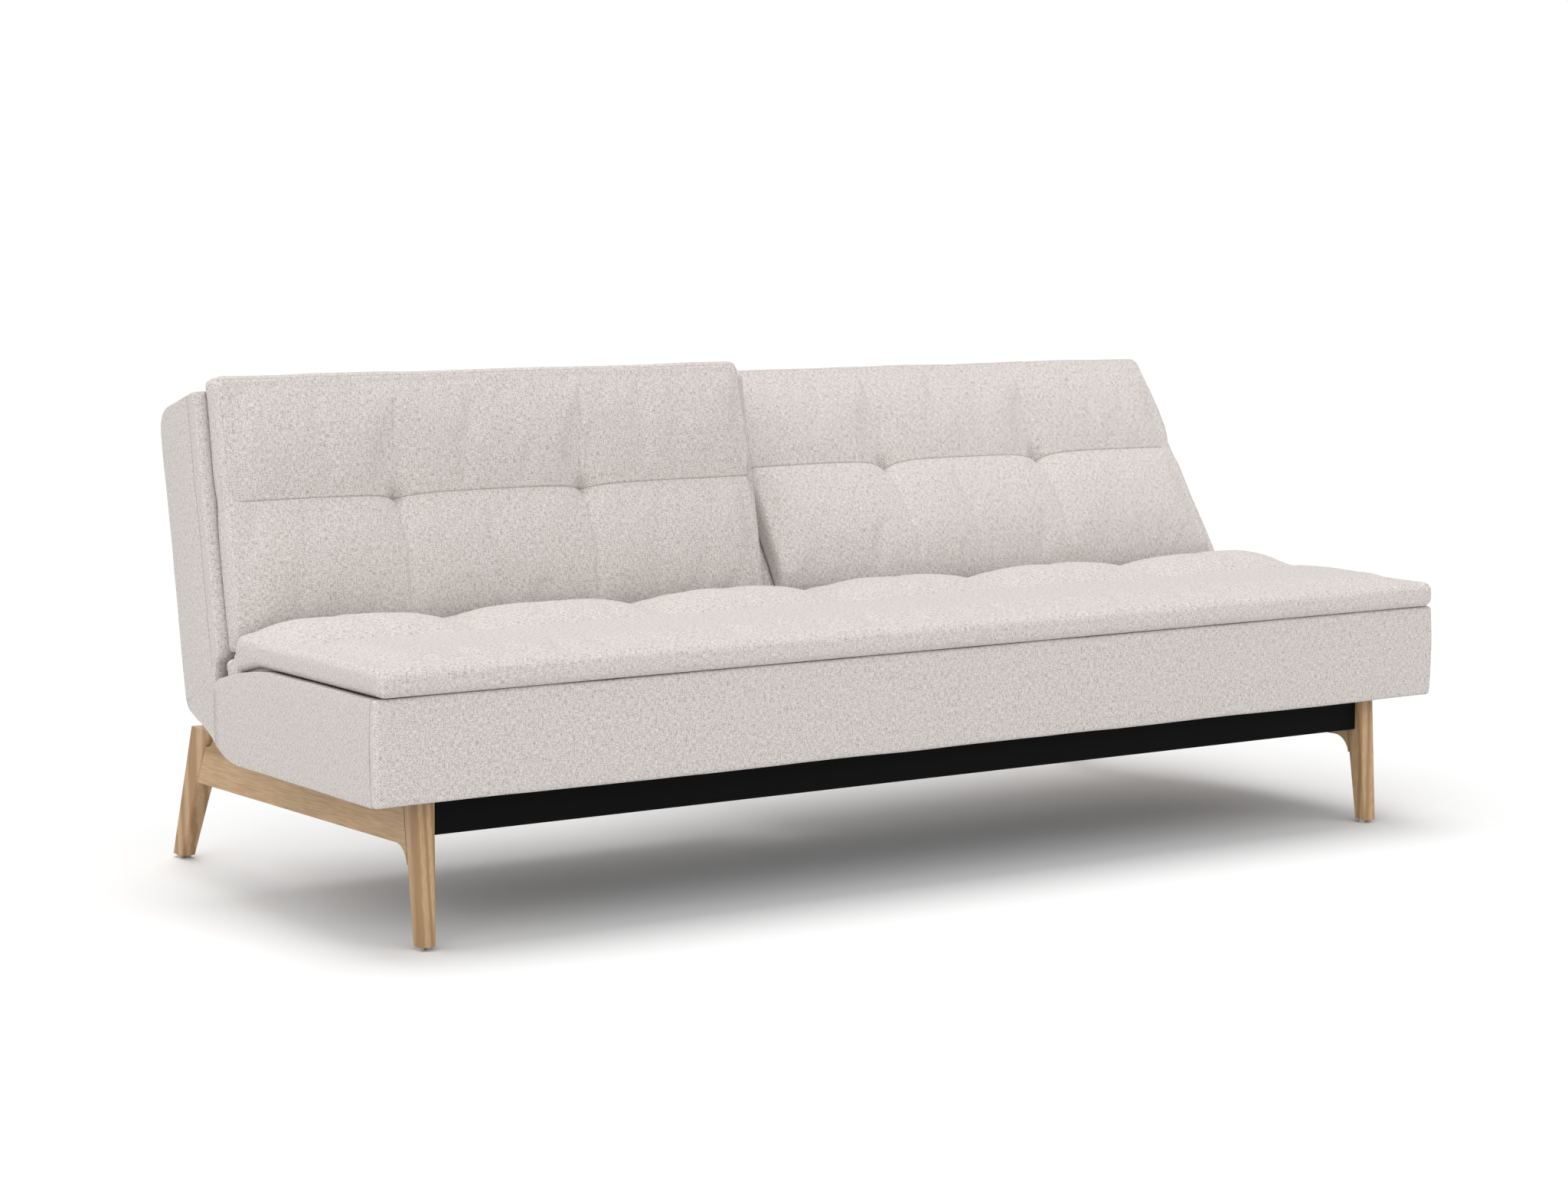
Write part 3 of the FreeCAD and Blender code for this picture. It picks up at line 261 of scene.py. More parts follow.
def woven_fabric(name, colours, pitch):
    """Heathered twill: diagonal ribs, upright and level flecks, and a brown line in the seams,
    partly thread colour and partly painted shade of the seam groove.
    """
    band_period = 0.314
    _, nodes, links, shader = new_material(name)
    shader.inputs["Roughness"].default_value = 0.92
    shader.inputs["Specular IOR Level"].default_value = 0.2
    shader.inputs["Sheen Weight"].default_value = 0.08
    shader.inputs["Sheen Roughness"].default_value = 0.6
    weave = nodes.new("ShaderNodeUVMap")
    weave.uv_map = "weave"
    flat = weave.outputs["UV"]
    rib_vector = mapped(nodes, links, flat, (1, 1, 1), (0, 0, math.radians(-45)))
    rib = nodes.new("ShaderNodeTexWave")
    rib.wave_type = "BANDS"
    rib.bands_direction = "X"
    rib.inputs["Scale"].default_value = band_period / pitch
    rib.inputs["Distortion"].default_value = 1.4
    rib.inputs["Detail"].default_value = 2.0
    rib.inputs["Detail Scale"].default_value = 3.0
    links.new(rib_vector, rib.inputs["Vector"])
    upright = noise_field(nodes, links, mapped(nodes, links, flat, (640, 150, 1)), 1.0, 1.0)
    level = noise_field(nodes, links, mapped(nodes, links, flat, (150, 640, 1)), 1.0, 1.0)
    slub = noise_field(nodes, links, mapped(nodes, links, flat, (480, 60, 1)), 1.0, 1.0)
    flecks = combined(nodes, links, "MULTIPLY", upright, level)
    dark = remap(nodes, links, flecks, 0.25, 0.09, 0.0, 0.60)
    light = remap(nodes, links, flecks, 0.25, 0.40, 0.0, 0.60)
    streak = remap(nodes, links, slub, 0.46, 0.28, 0.0, 0.35)
    body = blended(nodes, links, dark, colours.fabric, colours.fabric_dark)
    body = blended(nodes, links, streak, body, colours.fabric_dark)
    body = blended(nodes, links, light, body, colours.fabric_light)
    # Seam line: thread colour together with painted shade of the seam groove, mixed in by the seam mark.
    seam = nodes.new("ShaderNodeAttribute")
    seam.attribute_name = "seam"
    sewn = remap(nodes, links, seam.outputs["Fac"], 0.1, 1.0, 0.0, 0.65)
    body = blended(nodes, links, sewn, body, colours.seam)
    toned(nodes, links, shader, body, remap(nodes, links, rib.outputs["Fac"], 0.0, 1.0, 0.87, 1.09))
    threads = combined(nodes, links, "ADD", rib.outputs["Fac"], flecks)
    roughen(nodes, links, shader, threads, 0.30, 0.0005)


def oak_wood(name, colours, along, offset=0.0):
    """Honey oak with its grain along one axis, cathedral rings, pores and a satin finish."""
    _, nodes, links, shader = new_material(name)
    shader.inputs["Specular IOR Level"].default_value = 0.35
    place = nodes.new("ShaderNodeTexCoord").outputs["Object"]

    def along_grain(across, lengthwise):
        scale = [across] * 3
        scale["XYZ".index(along)] = lengthwise
        return mapped(nodes, links, place, scale)

    rings = nodes.new("ShaderNodeTexWave")
    rings.wave_type = "RINGS"
    rings.rings_direction = along
    rings.inputs["Scale"].default_value = 0.55
    rings.inputs["Distortion"].default_value = 7.0
    rings.inputs["Detail"].default_value = 3.0
    rings.inputs["Detail Scale"].default_value = 0.8
    rings.inputs["Phase Offset"].default_value = offset
    links.new(along_grain(38.0, 2.6), rings.inputs["Vector"])
    pores = noise_field(nodes, links, along_grain(900.0, 22.0), 1.0, 3.0)
    cloud = noise_field(nodes, links, mapped(nodes, links, place, (9, 9, 9)), 1.0, 2.0)
    lines = remap(nodes, links, rings.outputs["Fac"], 0.10, 0.70, 0.85, 0.0)
    pits = remap(nodes, links, pores, 0.60, 0.36, 0.0, 0.55)
    body = blended(nodes, links, lines, colours.oak, colours.oak_grain)
    body = blended(nodes, links, pits, body, colours.oak_grain)
    toned(nodes, links, shader, body, remap(nodes, links, cloud, 0.3, 0.7, 0.92, 1.06))
    links.new(remap(nodes, links, pores, 0.3, 0.7, 0.62, 0.42), shader.inputs["Roughness"])
    roughen(nodes, links, shader, pores, 0.35, 0.0004)


def rolled_steel(name, colour, metallic, rough, scale, spread=0.18, gloss=0.5):
    """Steel or paint with fine mottling in its colour, roughness and surface."""
    _, nodes, links, shader = new_material(name)
    shader.inputs["Metallic"].default_value = metallic
    shader.inputs["Specular IOR Level"].default_value = gloss
    place = nodes.new("ShaderNodeTexCoord").outputs["Object"]
    mottle = noise_field(nodes, links, place, scale, 4.0)
    light = tuple(min(1.0, c * (1 + spread)) for c in colour)
    dark = tuple(c * (1 - spread) for c in colour)
    links.new(blended(nodes, links, remap(nodes, links, mottle, 0.3, 0.7), dark, light),
              shader.inputs["Base Color"])
    polish = remap(nodes, links, mottle, 0.3, 0.7, rough - 0.08, rough + 0.08)
    links.new(polish, shader.inputs["Roughness"])
    roughen(nodes, links, shader, mottle, 0.25, 0.0002)


# Mesh helpers

def slice_mesh(bm, axis, stations):
    """Cuts a mesh by planes across one axis."""
    normal = Vector((0, 0, 0))
    normal[axis] = 1
    for station in stations:
        bmesh.ops.bisect_plane(
            bm, geom=bm.verts[:] + bm.edges[:] + bm.faces[:], dist=0.00005,
            plane_co=normal * station, plane_no=normal)


def steps_between(low, high, pitch, close_to=(), offsets=(0.0012, 0.003, 0.006)):
    """Even stations, with closer ones on both sides of each seam."""
    count = max(1, round((high - low) / pitch))
    even = [low + (high - low) * k / count for k in range(1, count)]
    for seam in close_to:
        reach = offsets[-1] + pitch * 0.4
        even = [s for s in even if abs(s - seam) > reach]
    near = [seam + sign * o for seam in close_to for o in (0.0, *offsets) for sign in (-1, 1)]
    return sorted(set(round(s, 6) for s in even + near if low < s < high))


def block(outline, near, far, edge, rounds=(), segments=4, axis=0, ends=("near", "far")):
    """A closed block: an outline drawn out along one axis, its corners and end edges rounded.
    rounds pairs an outline corner's number with its radius."""
    orders = {0: lambda u, v: (near, u, v), 1: lambda u, v: (u, near, v),
              2: lambda u, v: (u, v, near)}
    bm = bmesh.new()
    corners = [bm.verts.new(orders[axis](u, v)) for u, v in outline]
    bm.faces.new(corners)
    for number, radius in rounds:
        bmesh.ops.bevel(
            bm, geom=[corners[number]], offset=radius, segments=8, profile=0.5,
            affect="VERTICES", material=-1)
    grown = bmesh.ops.extrude_face_region(bm, geom=bm.faces[:])
    shift = Vector((0, 0, 0))
    shift[axis] = far - near
    bmesh.ops.translate(
        bm, vec=shift, verts=[g for g in grown["geom"] if isinstance(g, bmesh.types.BMVert)])
    bmesh.ops.recalc_face_normals(bm, faces=bm.faces[:])
    for end in ends:
        place = near if end == "near" else far
        cap = [e for e in bm.edges if all(abs(v.co[axis] - place) < 1e-6 for v in e.verts)]
        if edge:
            bmesh.ops.bevel(
                bm, geom=cap, offset=edge, segments=segments, profile=0.5, affect="EDGES",
                material=-1, clamp_overlap=True)
    return bm


def rounded_box(low, high, edge, segments=4):
    """A closed box with its edges rounded."""
    bm = bmesh.new()
    bmesh.ops.create_cube(bm, size=1.0)
    low, high = Vector(low), Vector(high)
    bmesh.ops.scale(bm, vec=high - low, verts=bm.verts[:])
    bmesh.ops.translate(bm, vec=(low + high) / 2, verts=bm.verts[:])
    bmesh.ops.bevel(
        bm, geom=bm.edges[:], offset=edge, segments=segments, profile=0.5, affect="EDGES",
        material=-1)
    return bm


def mould(bm, move):
    """Moves every vertex by what move gives for its place and normal."""
    bm.normal_update()
    places = [(v, move(v.co.copy(), v.normal.copy())) for v in bm.verts]
    for vertex, place in places:
        vertex.co = place


def hump(distance, width):
    """1 at distance 0, fading to nothing past width."""
    return math.exp(-(distance / width) ** 2)


def ease(value, low, high):
    """Rises smoothly from 0 at low to 1 at high."""
    t = min(1.0, max(0.0, (value - low) / (high - low)))
    return t * t * (3 - 2 * t)


def arch(share, power):
    """Rises from 0 at share 0 to 1 halfway and back to 0 at share 1."""
    return max(0.0, math.sin(math.pi * min(1.0, max(0.0, share)))) ** power


def waves(place, size, seed):
    """Slow, even waves between -1 and 1."""
    return noise.noise(place / size + Vector((seed, seed * 0.7, -seed)))


def sew(bm, seams):
    """Sinks each seam into the fabric and marks it for the shader, which gives it thread colour
    and painted seam shade. seams gives the distance to the nearest seam for a place and normal,
    or None."""
    sizes = bpy.context.scene.sofa_sizes
    layer = bm.verts.layers.float.new("seam")
    bm.normal_update()
    for vertex in bm.verts:
        distance = seams(vertex.co, vertex.normal)
        if distance is None:
            continue
        vertex[layer] = hump(distance, sizes.seam_width * 0.62)
        vertex.co -= vertex.normal * sizes.seam_depth * hump(distance, sizes.seam_width * 1.3)


def weave_map(bm):
    """Lays the cloth on a piece in metres, from the side that each face looks to. On the ends
    it is drawn a little finer."""
    end_scale, end_facing = 1.3, 0.75
    layer = bm.loops.layers.uv.new("weave")
    bm.normal_update()
    for face in bm.faces:
        n = face.normal
        side, depth, up = abs(n.x), abs(n.y), abs(n.z)
        for loop in face.loops:
            p = loop.vert.co
            if side > end_facing and side >= depth:
                along = p.y if n.x < 0 else -p.y
                loop[layer].uv = (along * end_scale, p.z * end_scale)
            elif up > depth:
                loop[layer].uv = (p.x, p.y)
            else:
                loop[layer].uv = (p.x, p.z)


def finish_piece(bm, name, place=None):
    """Makes a cover piece in the sofa's frame, smooth, with its cloth map."""
    weave_map(bm)
    if place is not None:
        bmesh.ops.transform(bm, matrix=place, verts=bm.verts[:])
    mesh = bpy.data.meshes.new(name)
    bm.to_mesh(mesh)
    bm.free()
    mesh.polygons.foreach_set("use_smooth", [True] * len(mesh.polygons))
    piece = bpy.data.objects.new(name, mesh)
    bpy.context.scene.collection.objects.link(piece)
    mesh.materials.append(bpy.data.materials[COVER])
    return piece


def stuff(piece, held, cap):
    """Fills a sewn cover: cloth under pressure, held where held gives 1, moved at most by cap."""
    frames = 20
    sizes = bpy.context.scene.sofa_sizes
    group = piece.vertex_groups.new(name="held")
    for vertex in piece.data.vertices:
        group.add([vertex.index], held[vertex.index], "REPLACE")
    cloth = piece.modifiers.new("Stuffing", "CLOTH")
    settings = cloth.settings
    settings.quality = 4
    settings.mass = 0.3
    settings.tension_stiffness = settings.compression_stiffness = 20
    settings.shear_stiffness = 8
    settings.bending_stiffness = 0.6
    settings.shrink_min = -0.012
    settings.use_pressure = True
    settings.uniform_pressure_force = sizes.fill_pressure
    settings.vertex_group_mass = group.name
    settings.effector_weights.gravity = 0
    cloth.collision_settings.use_collision = False
    cloth.point_cache.frame_start, cloth.point_cache.frame_end = 1, frames
    for number in range(1, frames + 1):
        bpy.context.scene.frame_set(number)
    graph = bpy.context.evaluated_depsgraph_get()
    settled = [v.co.copy() for v in piece.evaluated_get(graph).data.vertices]
    piece.modifiers.remove(cloth)
    for vertex, place in zip(piece.data.vertices, settled):
        shift = place - vertex.co
        if shift.length > cap:
            shift *= cap / shift.length
        vertex.co += shift * (1 - held[vertex.index])
    piece.vertex_groups.clear()
    bpy.context.scene.frame_set(1)


def smooth(piece):
    """Divides a finished cover once."""
    levels = piece.modifiers.new("Smooth", "SUBSURF")
    levels.levels = levels.render_levels = 1


def held_points(bm):
    """How far each point of a cover is held, taken off its mesh."""
    layer = bm.verts.layers.float.get("held")
    points = [vertex[layer] for vertex in bm.verts]
    bm.verts.layers.float.remove(layer)
    return points


def dress(piece, body, nodes):
    """Attaches a cover piece to its body and hides the nodes it stands for."""
    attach(piece, body)
    if nodes:
        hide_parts(*nodes)


def slack_fabric(bm, seed, spread=1.0, share=None):
    """Gives stretched fabric its slow waves, everywhere or by the share that share gives."""
    slack = bpy.context.scene.sofa_sizes.slack * spread

    def move(place, normal):
        swell = waves(place, 0.16, seed) + 0.45 * waves(place, 0.06, seed + 3)
        return place + normal * slack * swell * (share(place) if share else 1.0)

    mould(bm, move)


# Seat

def outline_of(points):
    """An outline in the sofa's frame from (distance behind the front, height) in millimetres."""
    return [(FRONT + y * MM, z * MM) for y, z in points]


class SOFA_OT_seat_base(bpy.types.Operator):
    """Padded front, end and rear panels and the deck of the seat base"""

    bl_idname = "sofa.seat_base"
    bl_label = "Seat base"

    def execute(self, context):
        sizes = context.scene.sofa_sizes
        inner = -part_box("seat_left_end_border")[1][0]
        self.front_panel(sizes, inner)
        for side, sign in SIDES.items():
            self.end_panel(sizes, side, sign, inner)
        self.flat_panel("seat_rear_panel", "seat_rear_border", 0.006, (0, 2), 0.03, 9.0, 1.0)
        self.flat_panel("seat_deck", "seat_foam_deck", 0.008, (0, 1), 0.05, 12.0, 0.5)
        return {"FINISHED"}

    def puff(self, sizes, height):
        """Swell of a padded panel at a height on the base."""
        middle = (BASE_BOTTOM + BASE_TOP) / 2
        return sizes.panel_puff * max(0.0, 1 - ((height - middle) / (BASE_TOP - middle)) ** 2)

    def front_panel(self, sizes, inner):
        """The long front panel, wrapped round both front corners."""
        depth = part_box("seat_front_border")[1][1]
        corner = FRONT + sizes.corner_wrap
        corner_round = 0.008
        bm = block([(-HALF_WIDTH, FRONT), (HALF_WIDTH, FRONT), (HALF_WIDTH, corner),
                    (inner, depth), (-inner, depth), (-HALF_WIDTH, corner)],
                   BASE_BOTTOM, BASE_TOP, sizes.base_round,
                   ((0, corner_round), (1, corner_round)), axis=2)
        slice_mesh(bm, 0, steps_between(-HALF_WIDTH, HALF_WIDTH, 0.024))
        slice_mesh(bm, 2, steps_between(BASE_BOTTOM, BASE_TOP, 0.014))

        def swell(place, normal):
            push = self.puff(sizes, place.z) if place.y < corner + 0.001 else 0.0
            return place + Vector((normal.x, min(0.0, normal.y), 0)) * push

        mould(bm, swell)
        slack_fabric(bm, 3.0)
        dress(finish_piece(bm, "seat_front_panel"), "seat", ["seat_front_border"])

    def flat_panel(self, name, node, edge, axes, pitch, seed, spread):
        """A plain panel over a node's own box."""
        low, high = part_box(node)
        bm = rounded_box(low, high, edge)
        for axis in axes:
            slice_mesh(bm, axis, steps_between(low[axis], high[axis], pitch))
        slack_fabric(bm, seed, spread)
        dress(finish_piece(bm, name), "seat", [node])

    def end_panel(self, sizes, side, sign, inner):
        """One end of the base, mitred to the front panel, with its raised tail."""
        tail = TAIL_END / MM
        outline = outline_of([(0, 223), (487, 223), (tail, 244), (tail, 345), (405, 378), (0, 378)])
        near, far = sorted((sign * inner, sign * HALF_WIDTH))
        bm = block(outline, near, far, 0, rounds=((1, 0.03), (3, 0.02), (4, 0.06)))
        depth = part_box("seat_front_border")[1][1] - FRONT
        corner = Vector((sign * HALF_WIDTH, FRONT + sizes.corner_wrap, 0))
        across = Vector((sign * inner - sign * HALF_WIDTH, depth - sizes.corner_wrap, 0))
        normal = Vector((across.y, -across.x, 0))
        if normal.y < 0:
            normal = -normal
        bmesh.ops.bisect_plane(
            bm, geom=bm.verts[:] + bm.edges[:] + bm.faces[:], plane_co=corner, plane_no=-normal,
            clear_outer=True)
        bmesh.ops.holes_fill(bm, edges=[e for e in bm.edges if e.is_boundary], sides=0)
        bmesh.ops.recalc_face_normals(bm, faces=bm.faces[:])
        self.round_rim(bm, sizes, corner)
        slice_mesh(bm, 1, steps_between(FRONT, FRONT + TAIL_END, 0.018))
        slice_mesh(bm, 2, steps_between(BASE_BOTTOM, BASE_TOP, 0.014))

        def swell(place, normal):
            push = self.puff(sizes, place.z) if normal.x * sign > 0.3 else 0.0
            return place + Vector((sign * push, 0, 0))

        mould(bm, swell)
        slack_fabric(bm, 3.0)
        dress(finish_piece(bm, f"seat_{side}_panel"), "seat", [f"seat_{side}_end_border"])

    def round_rim(self, bm, sizes, corner):
        """Rounds the outer rim of an end panel, but for its mitre and the end of its tail."""
        rim = []
        for edge in bm.edges:
            outer = all(abs(v.co.x - corner.x) < 1e-5 for v in edge.verts)
            behind_mitre = any(v.co.y >= corner.y + 1e-4 for v in edge.verts)
            before_tail_end = min(v.co.y for v in edge.verts) < FRONT + TAIL_END - 0.001
            if outer and behind_mitre and before_tail_end and edge.calc_face_angle(0) > 0.5:
                rim.append(edge)
        bmesh.ops.bevel(bm, geom=rim, offset=sizes.base_round, segments=4, profile=0.5,
                        affect="EDGES", material=-1, clamp_overlap=True)


class SOFA_OT_gussets(bpy.types.Operator):
    """Stretching gussets between the base and the backs, and the crumpled fold above them"""

    bl_idname = "sofa.gussets"
    bl_label = "Gussets"

    def execute(self, context):
        for side, sign in SIDES.items():
            self.tail(side, sign)
            self.fold(side, sign)
        return {"FINISHED"}

    def tail(self, side, sign):
        """Stretched cloth between the end of the base and the shell of a back."""
        outline = outline_of([
            (535, 244), (565, 262), (620, 280), (648, 292), (652, 306), (640, 326), (600, 340),
            (560, 366), (535, 374)])
        inset, flush, pitch = 0.022, 0.0005, 0.008
        near, far = sign * (HALF_WIDTH - inset), sign * (HALF_WIDTH - flush)
        bm = block(outline, near, far, 0.010, ((1, 0.02), (3, 0.012), (4, 0.012)), ends=("far",))
        slice_mesh(bm, 1, steps_between(FRONT + TAIL_END, FRONT + 0.652, pitch))
        slice_mesh(bm, 2, steps_between(0.244, 0.374, pitch))
        slant = Matrix.Rotation(0.6, 3, "X")

        def crease(place, normal):
            if normal.x * sign < 0.2:
                return place
            depth, closeness = 0.0016, 190
            pull = depth * math.sin((slant @ place).z * closeness) * ease(place.z, 0.27, 0.33)
            return place + Vector((sign * pull, 0, 0))

        mould(bm, crease)
        slack_fabric(bm, 81.0 + sign, 1.6)
        gusset = finish_piece(bm, f"{side}_tail_gusset")
        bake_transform(gusset, "seat", f"{side}_back", start=(0, FRONT + 0.555, 0.285),
                 end=(0, FRONT + 0.625, 0.325))

    def fold(self, side, sign):
        """Crumpled cloth in the end of the valley, behind the cushion's rear corner."""
        front, rear, pitch = FRONT + 0.466, FRONT + 0.508, 0.004
        outline = [(front, 0.350), (rear, 0.345), (rear - 0.002, 0.374), (front, 0.402)]
        near, far = sign * 0.955, sign * (HALF_WIDTH - 0.006)
        bm = block(outline, near, far, 0.010, ((1, 0.012), (2, 0.014)), ends=("far",))
        slice_mesh(bm, 0, steps_between(*sorted((near, far)), pitch))
        slice_mesh(bm, 1, steps_between(front, rear, pitch))
        slice_mesh(bm, 2, steps_between(0.345, 0.404, pitch))

        def crumple(place, normal):
            height, level = 0.0045, 0.55
            fold = noise.noise(Vector((place.x * 55, place.y * 90, place.z * 60)))
            return place + normal * height * (abs(fold) * 2 - level)

        mould(bm, crumple)
        piece = finish_piece(bm, f"{side}_valley_fold")
        smooth(piece)
        dress(piece, "seat", [])


class SOFA_OT_seat_cushion(bpy.types.Operator):
    """Boxed seat cushion with a long seam and puffed bays behind it"""

    bl_idname = "sofa.seat_cushion"
    bl_label = "Seat cushion"

    def execute(self, context):
        sizes = context.scene.sofa_sizes
        thickness, seam_behind, bays, rim_seam = 0.043, 0.307, 6, 0.012
        low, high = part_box("seat_pad")
        front, rear = low[1], high[1] - 0.002
        ends = high[0] - 0.001
        edge_top = BASE_TOP + thickness
        seam_y = FRONT + seam_behind
        channels = [-ends + 2 * ends * k / bays for k in range(1, bays)]
        bm = rounded_box((-ends, front, BASE_TOP + 0.001), (ends, rear, edge_top),
                         sizes.cushion_round, 5)
        slice_mesh(bm, 0, steps_between(-ends, ends, 0.0095, (-ends + rim_seam, ends - rim_seam),
                                        (0.0015, 0.004)))
        slice_mesh(bm, 1, steps_between(front, rear, 0.010, (seam_y,)))
        slice_mesh(bm, 2, steps_between(BASE_TOP, edge_top, 0.010))

        def bay_share(x):
            """Height across the seat: full inside a bay, low over a channel and at the ends."""
            fullness = 2.6
            if channels[0] <= x <= channels[-1]:
                t = (x + ends) / (2 * ends) * bays
                return 1 - abs(2 * (t - math.floor(t)) - 1) ** fullness
            t = (ends - abs(x)) / (ends - channels[-1])
            share = 1 - max(0.0, 2 * t - 1) ** fullness if t > 0.5 else 1.0
            return share * ease(t, 0.0, 0.16)

        def crown(x, y):
            """Height of the filling above the boxed edge."""
            front_height, rear_height, channel_share, end_share = 0.005, 0.024, 0.12, 0.35
            valley, dimple = 0.003, 0.005
            front_lobe = arch((y - front) / (seam_y - front), 0.5)
            rear_power = 0.4 if y > (seam_y + rear) / 2 else 0.8
            rear_lobe = arch((y - seam_y) / (rear - seam_y), rear_power)
            bay = channel_share + (1 - channel_share) * bay_share(x)
            inside = ease(ends - abs(x), 0.0, 0.09)
            height = front_height * front_lobe + rear_height * rear_lobe * bay
            height *= end_share + (1 - end_share) * inside
            height -= valley * hump(y - seam_y, 0.016) * inside
            for channel in channels:
                height -= dimple * hump(math.hypot(x - channel, (y - seam_y) * 1.3), 0.022)
            return height

        def rise(place, normal):
            share = ease(place.z, BASE_TOP + 0.012, edge_top)
            edge_puff = 0.002 * arch((place.z - BASE_TOP) / thickness, 1.0)
            sunk = 0.25 * max(0.0, place.y - FRONT - 0.405)
            sunk *= ease(abs(place.x), ends - 0.05, ends - 0.01) * (1 - share)
            lift = share * crown(place.x, place.y) - sunk
            return place + Vector((0, 0, lift)) + Vector((normal.x, normal.y, 0)) * edge_puff

        mould(bm, rise)
        slack_fabric(bm, 21.0, 1.3, lambda p: ease(p.z, BASE_TOP + 0.008, edge_top))
        sew(bm, lambda place, normal: abs(abs(place.x) - ends + rim_seam) + 0.001
            if normal.z > 0.2 else None)
        layer = bm.verts.layers.float.new("held")
        for vertex in bm.verts:
            x, y, z = vertex.co
            free = ease(z, BASE_TOP + 0.020, edge_top - 0.004) * ease(ends - abs(x), 0.004, 0.05)
            free *= 1 - hump(y - seam_y, 0.014)
            if y > seam_y:
                free *= 1 - 0.9 * hump(min(abs(x - c) for c in channels), 0.016)
            vertex[layer] = 1 - free * ease(rear - y, 0.0, 0.02) * ease(y - front, 0.006, 0.03)
        held = held_points(bm)
        cushion = finish_piece(bm, "seat_cushion")
        stuff(cushion, held, 0.010)
        smooth(cushion)
        dress(cushion, "seat", ["seat_pad"])
        return {"FINISHED"}


# Backs

